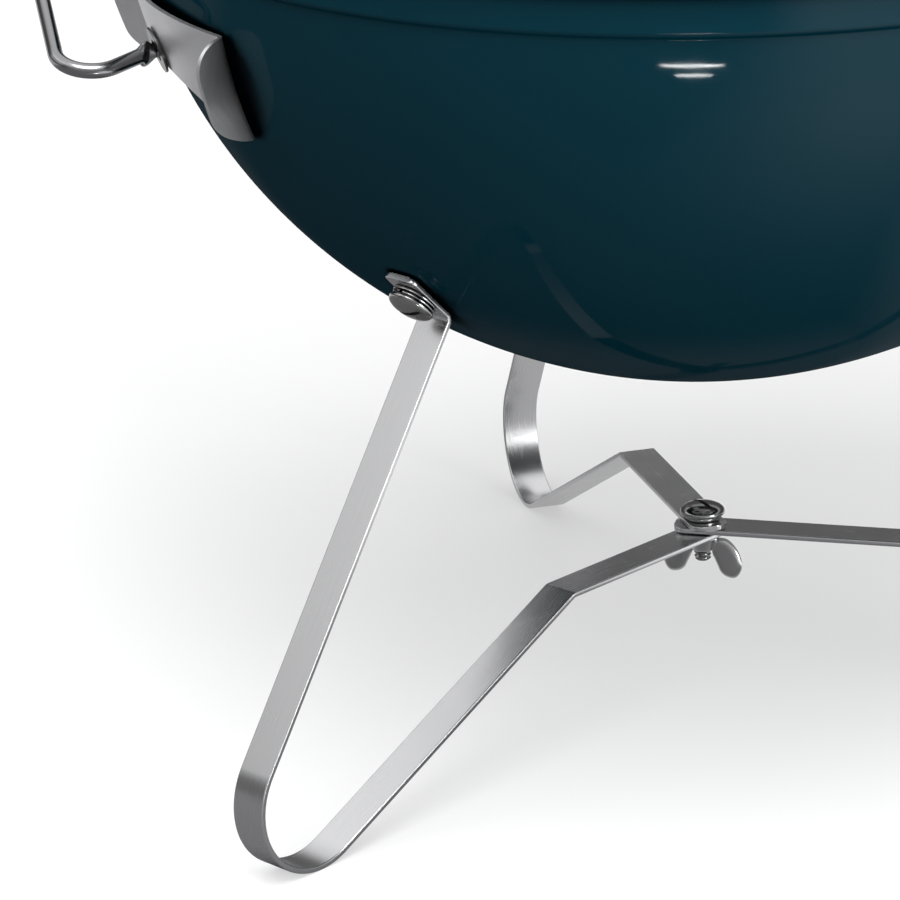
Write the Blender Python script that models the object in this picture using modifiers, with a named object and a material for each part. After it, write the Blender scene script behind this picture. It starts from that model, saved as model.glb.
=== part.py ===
"""Portable tabletop charcoal grill: enamelled kettle bowl and lid, three bent strap legs bolted
under the bowl and joined by one wing-nut bolt, two grates, two vent dampers and a wire bail.

Metres, +Z up, +X along the bail's pivot axis and +Y over the rear leg. Each piece is placed from
the bowl's axis, and the last step moves the whole grill so that the origin is on the ground under
the middle of its box.
"""

from math import acos, atan2, cos, degrees, hypot, pi, radians, sin, sqrt, tan

import bmesh
import bpy
from mathutils import Matrix, Vector

MM = 0.001
GAP = 0.25 * MM
SHEET = 1.2 * MM

# Bowl: a turned ellipse of revolution with a stepped upper band that carries the cooking grate.
BOWL_RADIUS = 180 * MM
BOWL_SEMI_HEIGHT = 172.6 * MM
EQUATOR_Z = 290.7 * MM
STEP_LOW_Z = 270.5 * MM
STEP_HIGH_Z = 274.5 * MM
BAND_RADIUS = 180.6 * MM
RIM_Z = 288 * MM
RIM_BEAD = 1.6 * MM
TURN_STEPS = 48
FACET_SAG = 0.7 * MM  # the turned shell's flat facets lie this far inside the true surface

# Lid: a shallower ellipse whose skirt hangs outside the bowl's rim bead.
LID_RADIUS = 178.5 * MM
LID_HEIGHT = 98 * MM
SKIRT_INNER = BAND_RADIUS + RIM_BEAD + 0.5 * MM
SKIRT_LOW_Z = 284.5 * MM

# Dampers and their three vent holes.
DAMPER_RADIUS = 32 * MM
DAMPER_SHEET = 1.0 * MM
VENT_RADIUS = 7 * MM
VENT_CIRCLE = 18 * MM
VENTS = 3
LID_DAMPER_X = 85 * MM
LID_DAMPER_DISH = 280 * MM
RIVET_RADIUS = 2.4 * MM

# Legs: flat strap in three vertical planes 120 degrees apart.
STRAP_WIDTH = 12.6 * MM
STRAP = 1.8 * MM
STACK_PITCH = STRAP + GAP
FOOT_RADIUS = 24.4 * MM
FOOT_CENTRE = 185.2 * MM
KNEE_RADIUS = 68.9 * MM
HUB_OVERRUN = 9.1 * MM
STACK_TOP_A = 56.1 * MM
BOLT_Z = 170.9 * MM
TAB_ABOVE_BOLT = 10.6 * MM
TAB_BELOW_BOLT = 11.8 * MM
LEGS = {"leg_front_left": (210, 0), "leg_front_right": (330, 1), "leg_rear": (90, 2)}

# Quarter-inch hardware.
SHANK = 2.8 * MM
HOLE = 3.2 * MM
HEAD_RADIUS = 7.4 * MM
HEAD_HEIGHT = 3.6 * MM
SLOT_WIDTH = 1.5 * MM
SLOT_TURN = 105
SLOT_DEPTH = 1.3 * MM
FLAT_WASHER = (7.3 * MM, 0.8 * MM)
LEG_LOCK_WASHER = (7.0 * MM, 0.8 * MM)
HUB_LOCK_WASHER = (5.8 * MM, 1.2 * MM)
SPLIT_TURN = radians(9)
NUT_ACROSS_CORNERS = 12.7 * MM
NUT_HEIGHT = 5.4 * MM
WING_NUT_TURN = radians(-40)
ROUND = 16

# Grates.
WIRE = 2.0 * MM
COOKING_RADIUS = 176 * MM
COOKING_Z = 277 * MM
COOKING_PITCH = 15 * MM
CHARCOAL_RADIUS = 137.3 * MM
CHARCOAL_Z = 187 * MM
CHARCOAL_PITCH = 19.5 * MM

# Carry bracket and bail.
BRACKET_SHEET = 1.2 * MM
BRACKET_HALF_ANGLE = radians(17.4)
BRACKET_TOP_SPREAD = radians(1.1)
BRACKET_TOP_Z = 253.8 * MM
BRACKET_END_Z = 219.5 * MM
BRACKET_MID_Z = 231.5 * MM
BRACKET_CONTACT = 1.0 * MM
BRACKET_BULGE = 2.0 * MM
WING_WIDTH = 13.5 * MM
WING_FLARE = radians(14)
WING_TOP_DROP = 12 * MM
WING_LOW_RISE = 9 * MM
PIVOT_Z = 236.5 * MM
PIVOT_X = 173.9 * MM
PIVOT_HOLE = 3.2 * MM
PIVOT_WASHER = (7.5 * MM, 0.8 * MM)
BAIL_WIRE = 2.4 * MM
BAIL_REST = radians(74)
BAIL_BAR = 194.5 * MM
KINK_X = 176.5 * MM
STUB_TILT = radians(28)
ARM_LEAN = radians(5.4)
ARM_X = 206.9 * MM
EAR_AT = 3.4 * MM
LOWER_BEND = 11 * MM
UPPER_BEND = 20 * MM

# Lid handle and its heat shield.
HANDLE_POST_X = 40 * MM
HANDLE_TOP_Z = 424.5 * MM
GRIP_RADIUS = 7.5 * MM
SHIELD_HALF_LENGTH = 62 * MM
SHIELD_HALF_WIDTH = 20 * MM
SHIELD_SHEET = 1.0 * MM
SCREW_SHANK = 2.2 * MM


def clear_scene():
    for obj in list(bpy.data.objects):
        bpy.data.objects.remove(obj, do_unlink=True)


def new_collection(name, hidden=False):
    made = bpy.data.collections.new(name)
    bpy.context.scene.collection.children.link(made)
    made.hide_render = hidden
    return made


def material(name, colour, roughness, metallic):
    made = bpy.data.materials.new(name)
    made.use_nodes = True
    shader = made.node_tree.nodes["Principled BSDF"]
    shader.inputs["Base Color"].default_value = (*colour, 1)
    shader.inputs["Roughness"].default_value = roughness
    shader.inputs["Metallic"].default_value = metallic
    return made


def add_object(name, mesh, look, place=None):
    obj = bpy.data.objects.new(name, mesh)
    PARTS.objects.link(obj)
    if look:
        mesh.materials.append(look)
    if place:
        obj.matrix_world = place
    return obj


def mesh_from(bm, name, smooth=True):
    bmesh.ops.recalc_face_normals(bm, faces=bm.faces)
    mesh = bpy.data.meshes.new(name)
    bm.to_mesh(mesh)
    bm.free()
    if smooth:
        mesh.shade_smooth()
        mesh.set_sharp_from_angle(angle=radians(35))
    return mesh


def cut(obj, cutter, operation="DIFFERENCE"):
    step = obj.modifiers.new(cutter.name, "BOOLEAN")
    step.operation = operation
    step.object = cutter


def helper(obj):
    """Moves an object to the cutters' collection and hides it."""
    PARTS.objects.unlink(obj)
    CUTTERS.objects.link(obj)
    obj.hide_render = True
    obj.display_type = "WIRE"
    return obj


def cylinder_mesh(name, radius, low, high, segments=ROUND, top_radius=None):
    bm = bmesh.new()
    bmesh.ops.create_cone(
        bm,
        cap_ends=True,
        segments=segments,
        radius1=radius,
        radius2=radius if top_radius is None else top_radius,
        depth=high - low,
        matrix=Matrix.Translation((0, 0, (low + high) / 2)),
    )
    return mesh_from(bm, name)


def drill(name, radius, low, high, place, segments=ROUND):
    return helper(add_object(name, cylinder_mesh(name, radius, low, high, segments), None, place))


def turned(name, profile, look, steps=ROUND, place=None):
    """A solid of revolution about Z: the profile runs from the axis, over the top, down the outside."""
    mesh = bpy.data.meshes.new(name)
    points = [(r, 0, z) for r, z in profile]
    closed = profile[0][0] > 0
    edges = [(i, i + 1) for i in range(len(points) - 1)]
    if closed:
        edges.append((len(points) - 1, 0))
    mesh.from_pydata(points, edges, [])
    obj = add_object(name, mesh, look, place)
    screw = obj.modifiers.new("turn", "SCREW")
    screw.steps = steps
    screw.render_steps = steps
    screw.use_merge_vertices = True
    screw.merge_threshold = 0.00001
    screw.use_smooth_shade = True
    return obj


def frame_from(origin, normal, towards):
    """Placement whose local Z is normal and whose local X leans towards the given direction."""
    z = Vector(normal).normalized()
    y = z.cross(Vector(towards)).normalized()
    x = y.cross(z)
    return Matrix.Translation(origin) @ Matrix((x, y, z)).transposed().to_4x4()


def turn_about_z(angle):
    return Matrix.Rotation(angle, 4, "Z")


def bowl_radius_at(z):
    return BOWL_RADIUS * sqrt(1 - ((EQUATOR_Z - z) / BOWL_SEMI_HEIGHT) ** 2)


def bowl_normal_at(z):
    """Outward (radial, vertical) normal of the bowl."""
    r = bowl_radius_at(z)
    n = Vector((r / BOWL_RADIUS**2, (z - EQUATOR_Z) / BOWL_SEMI_HEIGHT**2))
    return n.normalized()


def lid_height_at(r, offset=0.0):
    return RIM_Z + (LID_HEIGHT + offset) * sqrt(1 - (r / (LID_RADIUS + offset)) ** 2)


def ellipse_arc(a, b, z_mid, start, end, steps):
    """Points on an ellipse of revolution; angles are measured from straight down, outwards."""
    for i in range(steps + 1):
        t = start + (end - start) * i / steps
        yield a * sin(t), z_mid - b * cos(t)


def bowl():
    step_angle = acos((EQUATOR_Z - STEP_LOW_Z) / BOWL_SEMI_HEIGHT)
    outer = list(ellipse_arc(BOWL_RADIUS, BOWL_SEMI_HEIGHT, EQUATOR_Z, 0, step_angle, 12))
    inner = list(
        ellipse_arc(BOWL_RADIUS - SHEET, BOWL_SEMI_HEIGHT - SHEET, EQUATOR_Z, 0, step_angle, 12)
    )
    band = BAND_RADIUS
    bead = [
        (band - RIM_BEAD + RIM_BEAD * (1 + cos(a)), RIM_Z - RIM_BEAD + RIM_BEAD * sin(a))
        for a in (pi * k / 4 for k in range(3, -2, -1))
    ]
    ledge = [(band - SHEET, STEP_HIGH_Z), (band - SHEET, RIM_Z - RIM_BEAD)]
    profile = inner + ledge + bead + [(band, RIM_Z - 2 * RIM_BEAD - 0.4 * MM), (band, STEP_HIGH_Z)]
    profile += outer[::-1]
    profile[0] = (0, profile[0][1])
    profile[-1] = (0, profile[-1][1])
    obj = turned("bowl", profile, ENAMEL, TURN_STEPS)
    for k in range(VENTS):
        spin = turn_about_z(2 * pi * (k + 0.25) / VENTS)
        place = spin @ Matrix.Translation((VENT_CIRCLE, 0, 0))
        cut(obj, drill(f"bowl_vent_{k}", VENT_RADIUS, 100 * MM, 140 * MM, place))
    cut(obj, drill("bowl_rivet_hole", RIVET_RADIUS + GAP, 100 * MM, 140 * MM, Matrix()))
    for name, (azimuth, _) in LEGS.items():
        cut(obj, drill(f"bowl_hole_{name}", HOLE, -12 * MM, 12 * MM, bolt_place(azimuth)))
    return obj


def lid():
    outer = list(ellipse_arc(LID_RADIUS, LID_HEIGHT, 0, 0, radians(86), 9))
    inner = list(ellipse_arc(LID_RADIUS - SHEET, LID_HEIGHT - SHEET, 0, 0, radians(86), 9))
    shoulder = RIM_Z + GAP
    profile = [(r, RIM_Z + SHEET - z) for r, z in outer]
    profile += [
        (SKIRT_INNER + SHEET - 0.6 * MM, shoulder + SHEET),
        (SKIRT_INNER + SHEET, shoulder + 0.5 * MM),
        (SKIRT_INNER + SHEET, SKIRT_LOW_Z),
        (SKIRT_INNER, SKIRT_LOW_Z),
        (SKIRT_INNER, shoulder),
    ]
    profile += [(r, max(RIM_Z + SHEET - z, shoulder)) for r, z in inner[::-1]]
    profile[0] = (0, profile[0][1])
    profile[-1] = (0, profile[-1][1])
    obj = turned("lid", profile, ENAMEL, TURN_STEPS)
    place = lid_damper_place()
    for k in range(VENTS):
        hole = place @ turn_about_z(2 * pi * k / VENTS) @ Matrix.Translation((VENT_CIRCLE, 0, 0))
        cut(obj, drill(f"lid_vent_{k}", VENT_RADIUS, -10 * MM, 10 * MM, hole))
    cut(obj, drill("lid_rivet_hole", RIVET_RADIUS + GAP, -10 * MM, 10 * MM, place))
    for side in (-1, 1):
        hole = Matrix.Translation((side * HANDLE_POST_X, 0, 0))
        cut(obj, drill(f"lid_screw_hole_{side}", SCREW_SHANK + GAP, 360 * MM, 400 * MM, hole))
    return obj


def lid_damper_place():
    """Local Z is the lid's outward normal at the damper's centre, which lies towards -Y."""
    z = lid_height_at(LID_DAMPER_X) + SHEET
    slope = Vector((0, -LID_DAMPER_X / LID_RADIUS**2, (z - RIM_Z) / LID_HEIGHT**2))
    return frame_from((0, -LID_DAMPER_X, z), slope, (1, 0, 0))


def damper(name, look, dish, place):
    """A dished disc under or over its vents, with a bent tab; local Z points away from the shell."""
    clearance = 0.45 * MM
    steps = 3
    under = []
    for i in range(steps + 1):
        r = DAMPER_RADIUS * i / steps
        under.append((r, clearance - (dish - sqrt(dish**2 - r**2))))
    over = [(r, z + DAMPER_SHEET) for r, z in under]
    disc = turned(name, over + under[::-1], look, 28, place)
    for k in range(VENTS):
        hole = place @ turn_about_z(2 * pi * k / VENTS) @ Matrix.Translation((VENT_CIRCLE, 0, 0))
        cut(disc, drill(f"{name}_vent_{k}", VENT_RADIUS, -10 * MM, 10 * MM, hole))
    cut(disc, drill(f"{name}_hole", RIVET_RADIUS + GAP, -10 * MM, 10 * MM, place))
    edge_z = under[-1][1] + DAMPER_SHEET / 2
    path = [
        (DAMPER_RADIUS - 4 * MM, edge_z + 0.3 * MM),
        (DAMPER_RADIUS + 7 * MM, edge_z + 0.6 * MM),
        (DAMPER_RADIUS + 10 * MM, edge_z + 10 * MM),
    ]
    tab = strip(f"{name}_tab", path, 12 * MM, DAMPER_SHEET, None, 3 * MM, 3 * MM)
    tab.matrix_world = place @ turn_about_z(-pi / 2)
    cut(disc, helper(tab), "UNION")
    return disc


def strip(name, path, width, thickness, look, start_corner=0.0, end_corner=0.0):
    """A flat strap that follows (radial, vertical) points in the local XZ plane, centred on Y."""
    bm = bmesh.new()
    verts = [bm.verts.new((r, -width / 2, z)) for r, z in path]
    edges = [bm.edges.new(pair) for pair in zip(verts, verts[1:])]
    made = bmesh.ops.extrude_edge_only(bm, edges=edges)["geom"]
    moved = [v for v in made if isinstance(v, bmesh.types.BMVert)]
    bmesh.ops.translate(bm, verts=moved, vec=(0, width, 0))
    bm.verts.ensure_lookup_table()
    ends = {path[0]: start_corner, path[-1]: end_corner}
    for (r, z), size in ends.items():
        corners = [v for v in bm.verts if hypot(v.co.x - r, v.co.z - z) < 1e-7]
        if size:
            bmesh.ops.bevel(
                bm, geom=corners, offset=size, segments=3, profile=0.5, affect="VERTICES"
            )
    obj = add_object(name, mesh_from(bm, name), look)
    solid = obj.modifiers.new("thickness", "SOLIDIFY")
    solid.thickness = thickness
    solid.offset = 0
    solid.use_even_offset = True
    return obj


def bolt_place(azimuth):
    """Frame on the bowl's surface at a leg bolt: local Z outwards, local X up the slope."""
    n = bowl_normal_at(BOLT_Z)
    local = frame_from((bowl_radius_at(BOLT_Z), 0, BOLT_Z), (n[0], 0, n[1]), (-n[1], 0, n[0]))
    return turn_about_z(radians(azimuth)) @ local


def tangent_angle(point, centre, radius, side):
    """Angle on a circle where the tangent line from the point touches."""
    dx, dz = point[0] - centre[0], point[1] - centre[1]
    return atan2(dz, dx) + side * acos(radius / hypot(dx, dz))


def leg_path(layer):
    """Centreline of one leg strap from its tab on the bowl, round the foot, to the hub."""
    n = bowl_normal_at(BOLT_Z)
    up = Vector((-n[1], n[0]))
    on_tab = Vector((bowl_radius_at(BOLT_Z), BOLT_Z)) + n * (GAP + STRAP / 2)
    tab_end = on_tab + up * TAB_ABOVE_BOLT
    bend = on_tab - up * TAB_BELOW_BOLT
    radius = FOOT_RADIUS - STRAP / 2
    knee = Vector((KNEE_RADIUS, STACK_TOP_A - STRAP / 2 + layer * STACK_PITCH))
    segments = 17
    facet = radians(360 / 26)
    # The lowest facet is flat on the ground, so the circle's centre is one sagitta lower.
    centre = (FOOT_CENTRE, radius * cos(facet / 2) + STRAP / 2)
    first = tangent_angle(bend, centre, radius, -1)
    last = tangent_angle(knee, centre, radius, 1) - 2 * pi
    angles = [-pi / 2 + facet * (k + 0.5) for k in range(-segments, segments)]
    angles = sorted((a for a in angles if last < a < first), reverse=True)
    arc = [(centre[0] + radius * cos(a), centre[1] + radius * sin(a)) for a in angles]
    return [tuple(tab_end), tuple(bend), *arc, tuple(knee), (-HUB_OVERRUN, knee[1])]


def leg(name, azimuth, layer):
    obj = strip(name, leg_path(layer), STRAP_WIDTH, STRAP, STEEL, 2 * MM, 4.5 * MM)
    place = turn_about_z(radians(azimuth))
    obj.matrix_world = place
    cut(obj, drill(f"{name}_tab_hole", HOLE, -2 * MM, 8 * MM, bolt_place(azimuth)))
    cut(obj, drill(f"{name}_hub_hole", HOLE, 40 * MM, 70 * MM, Matrix()))
    return obj


def washer(name, size, place, look, hole=HOLE):
    outer, thick = size
    profile = [(hole, 0), (hole, thick), (outer, thick), (outer, 0)]
    return turned(name, profile, look, ROUND, place)


def lock_washer(name, size, place):
    """A split ring with one narrow slanted gap."""
    obj = washer(name, size, place, STEEL)
    bm = bmesh.new()
    bmesh.ops.create_cube(bm, size=1)
    bmesh.ops.scale(bm, verts=bm.verts, vec=(2 * (size[0] - HOLE), 0.9 * MM, 6 * MM))
    slot = add_object(f"{name}_split", mesh_from(bm, name, False), None)
    slanted = Matrix.Translation((size[0], 0, 0)) @ Matrix.Rotation(0.35, 4, "X")
    slot.matrix_world = place @ turn_about_z(SPLIT_TURN) @ slanted
    cut(obj, helper(slot))
    return obj


def truss_bolt(name, shank_low, head_low, place):
    """Domed head above the shank along local Z."""
    dome = [
        (HEAD_RADIUS * cos(a), head_low + 0.8 * MM + (HEAD_HEIGHT - 0.8 * MM) * sin(a))
        for a in (pi / 2 * k / 5 for k in range(5, -1, -1))
    ]
    dome[0] = (0, dome[0][1])
    profile = dome + [
        (HEAD_RADIUS, head_low),
        (SHANK, head_low),
        (SHANK, shank_low + 0.8 * MM),
        (SHANK - 0.8 * MM, shank_low),
        (0, shank_low),
    ]
    obj = turned(name, profile, STEEL, ROUND, place)
    bm = bmesh.new()
    bmesh.ops.create_cube(bm, size=1)
    bmesh.ops.scale(bm, verts=bm.verts, vec=(4 * HEAD_RADIUS, SLOT_WIDTH, 2 * SLOT_DEPTH))
    slot = add_object(f"{name}_slot", mesh_from(bm, name, False), None)
    top = Matrix.Translation((0, 0, head_low + HEAD_HEIGHT))
    slot.matrix_world = place @ top @ turn_about_z(radians(SLOT_TURN))
    cut(obj, helper(slot))
    return obj


def hex_nut(name, place):
    mesh = cylinder_mesh(name, NUT_ACROSS_CORNERS / 2, 0, NUT_HEIGHT, 6)
    obj = add_object(name, mesh, STEEL, place)
    cut(obj, drill(f"{name}_bore", HOLE - 0.1 * MM, -MM, NUT_HEIGHT + MM, place))
    return obj


def leg_fasteners(name, azimuth):
    """Outside the tab: flat washer, lock washer, truss head. Inside the bowl: hex nut."""
    side = name.replace("leg_", "")
    surface = bolt_place(azimuth)
    z = GAP + STRAP + GAP
    washer(f"leg_flat_washer_{side}", FLAT_WASHER, surface @ Matrix.Translation((0, 0, z)), STEEL)
    z += FLAT_WASHER[1] + GAP
    ring = surface @ Matrix.Translation((0, 0, z))
    lock_washer(f"leg_lock_washer_{side}", LEG_LOCK_WASHER, ring)
    z += LEG_LOCK_WASHER[1] + GAP
    nut_top = -SHEET - GAP - FACET_SAG
    truss_bolt(f"leg_bolt_{side}", nut_top - NUT_HEIGHT - 2 * MM, z, surface)
    nut = surface @ Matrix.Translation((0, 0, nut_top - NUT_HEIGHT))
    hex_nut(f"leg_nut_{side}", nut)


def hub():
    """The bolt through the three strap ends, with its wing nut underneath."""
    top = STACK_TOP_A + 2 * STACK_PITCH
    z = top + GAP
    lock_washer("hub_lock_washer", HUB_LOCK_WASHER, Matrix.Translation((0, 0, z)))
    z += HUB_LOCK_WASHER[1] + GAP
    truss_bolt("hub_bolt", 45.5 * MM, z, Matrix())
    wing_nut(STACK_TOP_A - STRAP - GAP)


def wing_nut(top):
    """Tapered boss with two wings that flare outwards and down."""
    height = 6 * MM
    bore = SHANK + 0.35 * MM
    profile = [
        (bore, top - height),
        (bore, top),
        (5.2 * MM, top),
        (4.6 * MM, top - height),
    ]
    obj = turned("wing_nut", profile, STEEL, ROUND)
    obj.rotation_euler = (0, 0, WING_NUT_TURN)
    for side in (0, pi):
        outline = [
            (4.0, -0.4), (8.8, -0.8), (12.0, -3.6), (13.8, -7.9), (13.3, -11.4),
            (11.5, -13.6), (8.8, -13.6), (6.6, -12.0), (5.2, -9.6), (4.0, -5.4),
        ]
        bm = bmesh.new()
        face = bm.faces.new([bm.verts.new((x * MM, -0.9 * MM, top + z * MM)) for x, z in outline])
        made = bmesh.ops.extrude_face_region(bm, geom=[face])["geom"]
        moved = [v for v in made if isinstance(v, bmesh.types.BMVert)]
        bmesh.ops.translate(bm, verts=moved, vec=(0, 1.8 * MM, 0))
        wing = add_object(f"wing_{degrees(side):.0f}", mesh_from(bm, "wing"), None)
        wing.matrix_world = turn_about_z(side + WING_NUT_TURN)
        cut(obj, helper(wing), "UNION")
    return obj


def wire_object(name, points, radius, sides_resolution=2, cyclic=False):
    """A round wire along world points, as a mesh with welded caps."""
    curve = bpy.data.curves.new(name, "CURVE")
    curve.dimensions = "3D"
    curve.bevel_depth = radius
    curve.bevel_resolution = sides_resolution
    curve.use_fill_caps = not cyclic
    spline = curve.splines.new("POLY")
    spline.points.add(len(points) - 1)
    spline.use_cyclic_u = cyclic
    for point, co in zip(spline.points, points):
        point.co = (*co, 1)
    guide = bpy.data.objects.new(f"{name}_guide", curve)
    PARTS.objects.link(guide)
    bpy.context.view_layer.update()
    graph = bpy.context.evaluated_depsgraph_get()
    mesh = bpy.data.meshes.new_from_object(guide.evaluated_get(graph))
    bm = bmesh.new()
    bm.from_mesh(mesh)
    bmesh.ops.remove_doubles(bm, verts=bm.verts, dist=0.00001)
    bmesh.ops.recalc_face_normals(bm, faces=bm.faces)
    bm.to_mesh(mesh)
    bm.free()
    mesh.name = name
    place = guide.matrix_world.copy()
    bpy.data.objects.remove(guide)
    mesh.shade_smooth()
    return add_object(name, mesh, None, place)


def grate(name, look, radius, z, pitch, cross_bars):
    """A ring with parallel bars lying on it, and cross bars welded under the bars."""
    turns = 32
    ring = [
        (radius * cos(2 * pi * k / turns), radius * sin(2 * pi * k / turns), z) for k in range(turns)
    ]
    obj = wire_object(name, ring, WIRE, 1, True)
    obj.data.materials.append(look)
    bar_z = z + 1.4 * WIRE
    count = int(radius / pitch)
    for k in range(-count, count + 1):
        x = k * pitch
        reach = sqrt(max(radius**2 - x**2, 0)) + 0.2 * WIRE
        if reach < 3 * pitch:
            continue
        bar = wire_object(f"{name}_bar_{k}", [(x, -reach, bar_z), (x, reach, bar_z)], 0.9 * WIRE, 0)
        cut(obj, helper(bar), "UNION")
    for k, y in enumerate(cross_bars):
        reach = sqrt(radius**2 - y**2) + 0.2 * WIRE
        bar = wire_object(f"{name}_cross_{k}", [(-reach, y, z), (reach, y, z)], 0.95 * WIRE, 0)
        cut(obj, helper(bar), "UNION")
    return obj


def bracket(name, side):
    """U channel open outwards: a web that bulges off the bowl and two rounded wings."""
    rows = 5
    web_columns = 8
    wing_shares = [0.35, 0.65, 0.87, 1]

    def half_angle(z):
        height_share = (z - BRACKET_END_Z) / (BRACKET_TOP_Z - BRACKET_END_Z)
        return BRACKET_HALF_ANGLE + BRACKET_TOP_SPREAD * height_share

    def web_point(share, row):
        bump = max(cos(pi / 2 * share), 0)
        low = BRACKET_END_Z + (BRACKET_MID_Z - BRACKET_END_Z) * bump**1.3
        z = low + (BRACKET_TOP_Z - low) * row / rows
        radius = bowl_radius_at(z) + BRACKET_CONTACT + BRACKET_BULGE * bump
        angle = half_angle(z) * share
        return Vector((radius * cos(angle), radius * sin(angle), z))

    def wing_point(end, share, row):
        rounded = 1 - sqrt(1 - share**2)
        low = BRACKET_END_Z + WING_LOW_RISE * rounded
        high = BRACKET_TOP_Z - WING_TOP_DROP * rounded
        z = low + (high - low) * row / rows
        radius = bowl_radius_at(z) + BRACKET_CONTACT
        angle = end * half_angle(z)
        out = angle + end * WING_FLARE
        reach = WING_WIDTH * share
        x = radius * cos(angle) + reach * cos(out)
        y = radius * sin(angle) + reach * sin(out)
        return Vector((x, y, z))

    columns = [[wing_point(-1, s, row) for row in range(rows + 1)] for s in wing_shares[::-1]]
    for k in range(web_columns + 1):
        share = -1 + 2 * k / web_columns
        columns.append([web_point(share, row) for row in range(rows + 1)])
    columns += [[wing_point(1, s, row) for row in range(rows + 1)] for s in wing_shares]
    facing = turn_about_z(pi if side < 0 else 0)
    bm = bmesh.new()
    grid = [[bm.verts.new(facing @ point) for point in column] for column in columns]
    for left, right in zip(grid, grid[1:]):
        for row in range(rows):
            bm.faces.new((left[row], right[row], right[row + 1], left[row + 1]))
    obj = add_object(name, mesh_from(bm, name), STEEL)
    solid = obj.modifiers.new("thickness", "SOLIDIFY")
    solid.thickness = BRACKET_SHEET
    solid.offset = 0
    solid.use_even_offset = True
    toward = Matrix.Rotation(side * pi / 2, 4, "Y")
    place = Matrix.Translation((side * PIVOT_X, 0, PIVOT_Z)) @ toward
    cut(obj, drill(f"{name}_hole", PIVOT_HOLE, -6 * MM, 6 * MM, place))
    label = name.replace("bracket", "pivot_washer")
    slope = bowl_normal_at(PIVOT_Z)
    centre = (side * PIVOT_X, 0, PIVOT_Z)
    flat = frame_from(centre, (side * slope[0], 0, slope[1]), (0, 1, 0))
    out = BRACKET_SHEET / 2 + 0.35 * MM
    disc = washer(label, PIVOT_WASHER, flat @ Matrix.Translation((0, 0, out)), STEEL, PIVOT_HOLE)
    return obj, disc


def bail_frame():
    """Local Y runs from the pivot axis to the grip bar at rest, local X along the axis."""
    up = Vector((0, sin(BAIL_REST), cos(BAIL_REST)))
    side = Vector((1, 0, 0))
    axes = Matrix((side, up, side.cross(up))).transposed().to_4x4()
    return Matrix.Translation((0, 0, PIVOT_Z)) @ axes


def fillet(before, corner, after, radius, steps):
    """Points of the arc that rounds one corner of a flat path."""
    a = (Vector(before) - Vector(corner)).normalized()
    b = (Vector(after) - Vector(corner)).normalized()
    half = a.angle(b) / 2
    start = Vector(corner) + a * radius / tan(half)
    centre = Vector(corner) + (a + b).normalized() * radius / sin(half)
    end = Vector(corner) + b * radius / tan(half)
    from_centre = start - centre
    sweep = from_centre.angle_signed(end - centre)
    points = []
    for k in range(steps + 1):
        turn = -sweep * k / steps
        x = from_centre.x * cos(turn) - from_centre.y * sin(turn)
        y = from_centre.x * sin(turn) + from_centre.y * cos(turn)
        points.append(centre + Vector((x, y)))
    return points


def bail_path():
    """Half of the bail's centreline in its own plane, from inside the bracket to the bar's middle."""
    tip = Vector((PIVOT_X - 0.9 * MM, 0))
    kink = Vector((KINK_X, 0))
    stub = Vector((cos(STUB_TILT), -sin(STUB_TILT)))
    arm = Vector((-sin(ARM_LEAN), cos(ARM_LEAN)))
    arm_foot = Vector((ARM_X, 0))
    # The elbow is where the stub's line meets the arm's, the shoulder where the arm's meets the bar's.
    gap = arm_foot - kink
    along = (gap.x * arm.y - gap.y * arm.x) / (stub.x * arm.y - stub.y * arm.x)
    elbow = kink + stub * along
    shoulder = arm_foot + arm * (BAIL_BAR / arm.y)
    lower = fillet(kink, elbow, shoulder, LOWER_BEND, 6)
    upper = fillet(elbow, shoulder, Vector((0, BAIL_BAR)), UPPER_BEND, 6)
    return [tip, kink, *lower, *upper]


def bail():
    half = bail_path()
    path = [(p.x, p.y, 0) for p in half] + [(-p.x, p.y, 0) for p in reversed(half)]
    place = bail_frame()
    obj = wire_object("bail", path, BAIL_WIRE, 2)
    obj.matrix_world = place
    obj.data.materials.append(CHROME)
    for side in (-1, 1):
        bm = bmesh.new()
        bmesh.ops.create_cube(bm, size=1)
        bmesh.ops.scale(bm, verts=bm.verts, vec=(2.4 * MM, 1.6 * MM, 9 * MM))
        ear = add_object(f"bail_ear_{side}", mesh_from(bm, "ear", False), None)
        tilt = Matrix.Rotation(-side * STUB_TILT, 4, "Z")
        along = EAR_AT * cos(STUB_TILT)
        at = Vector((side * (KINK_X + along), -EAR_AT * sin(STUB_TILT), 0))
        ear.matrix_world = place @ Matrix.Translation(at) @ tilt
        cut(obj, helper(ear), "UNION")
    return obj


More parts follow.
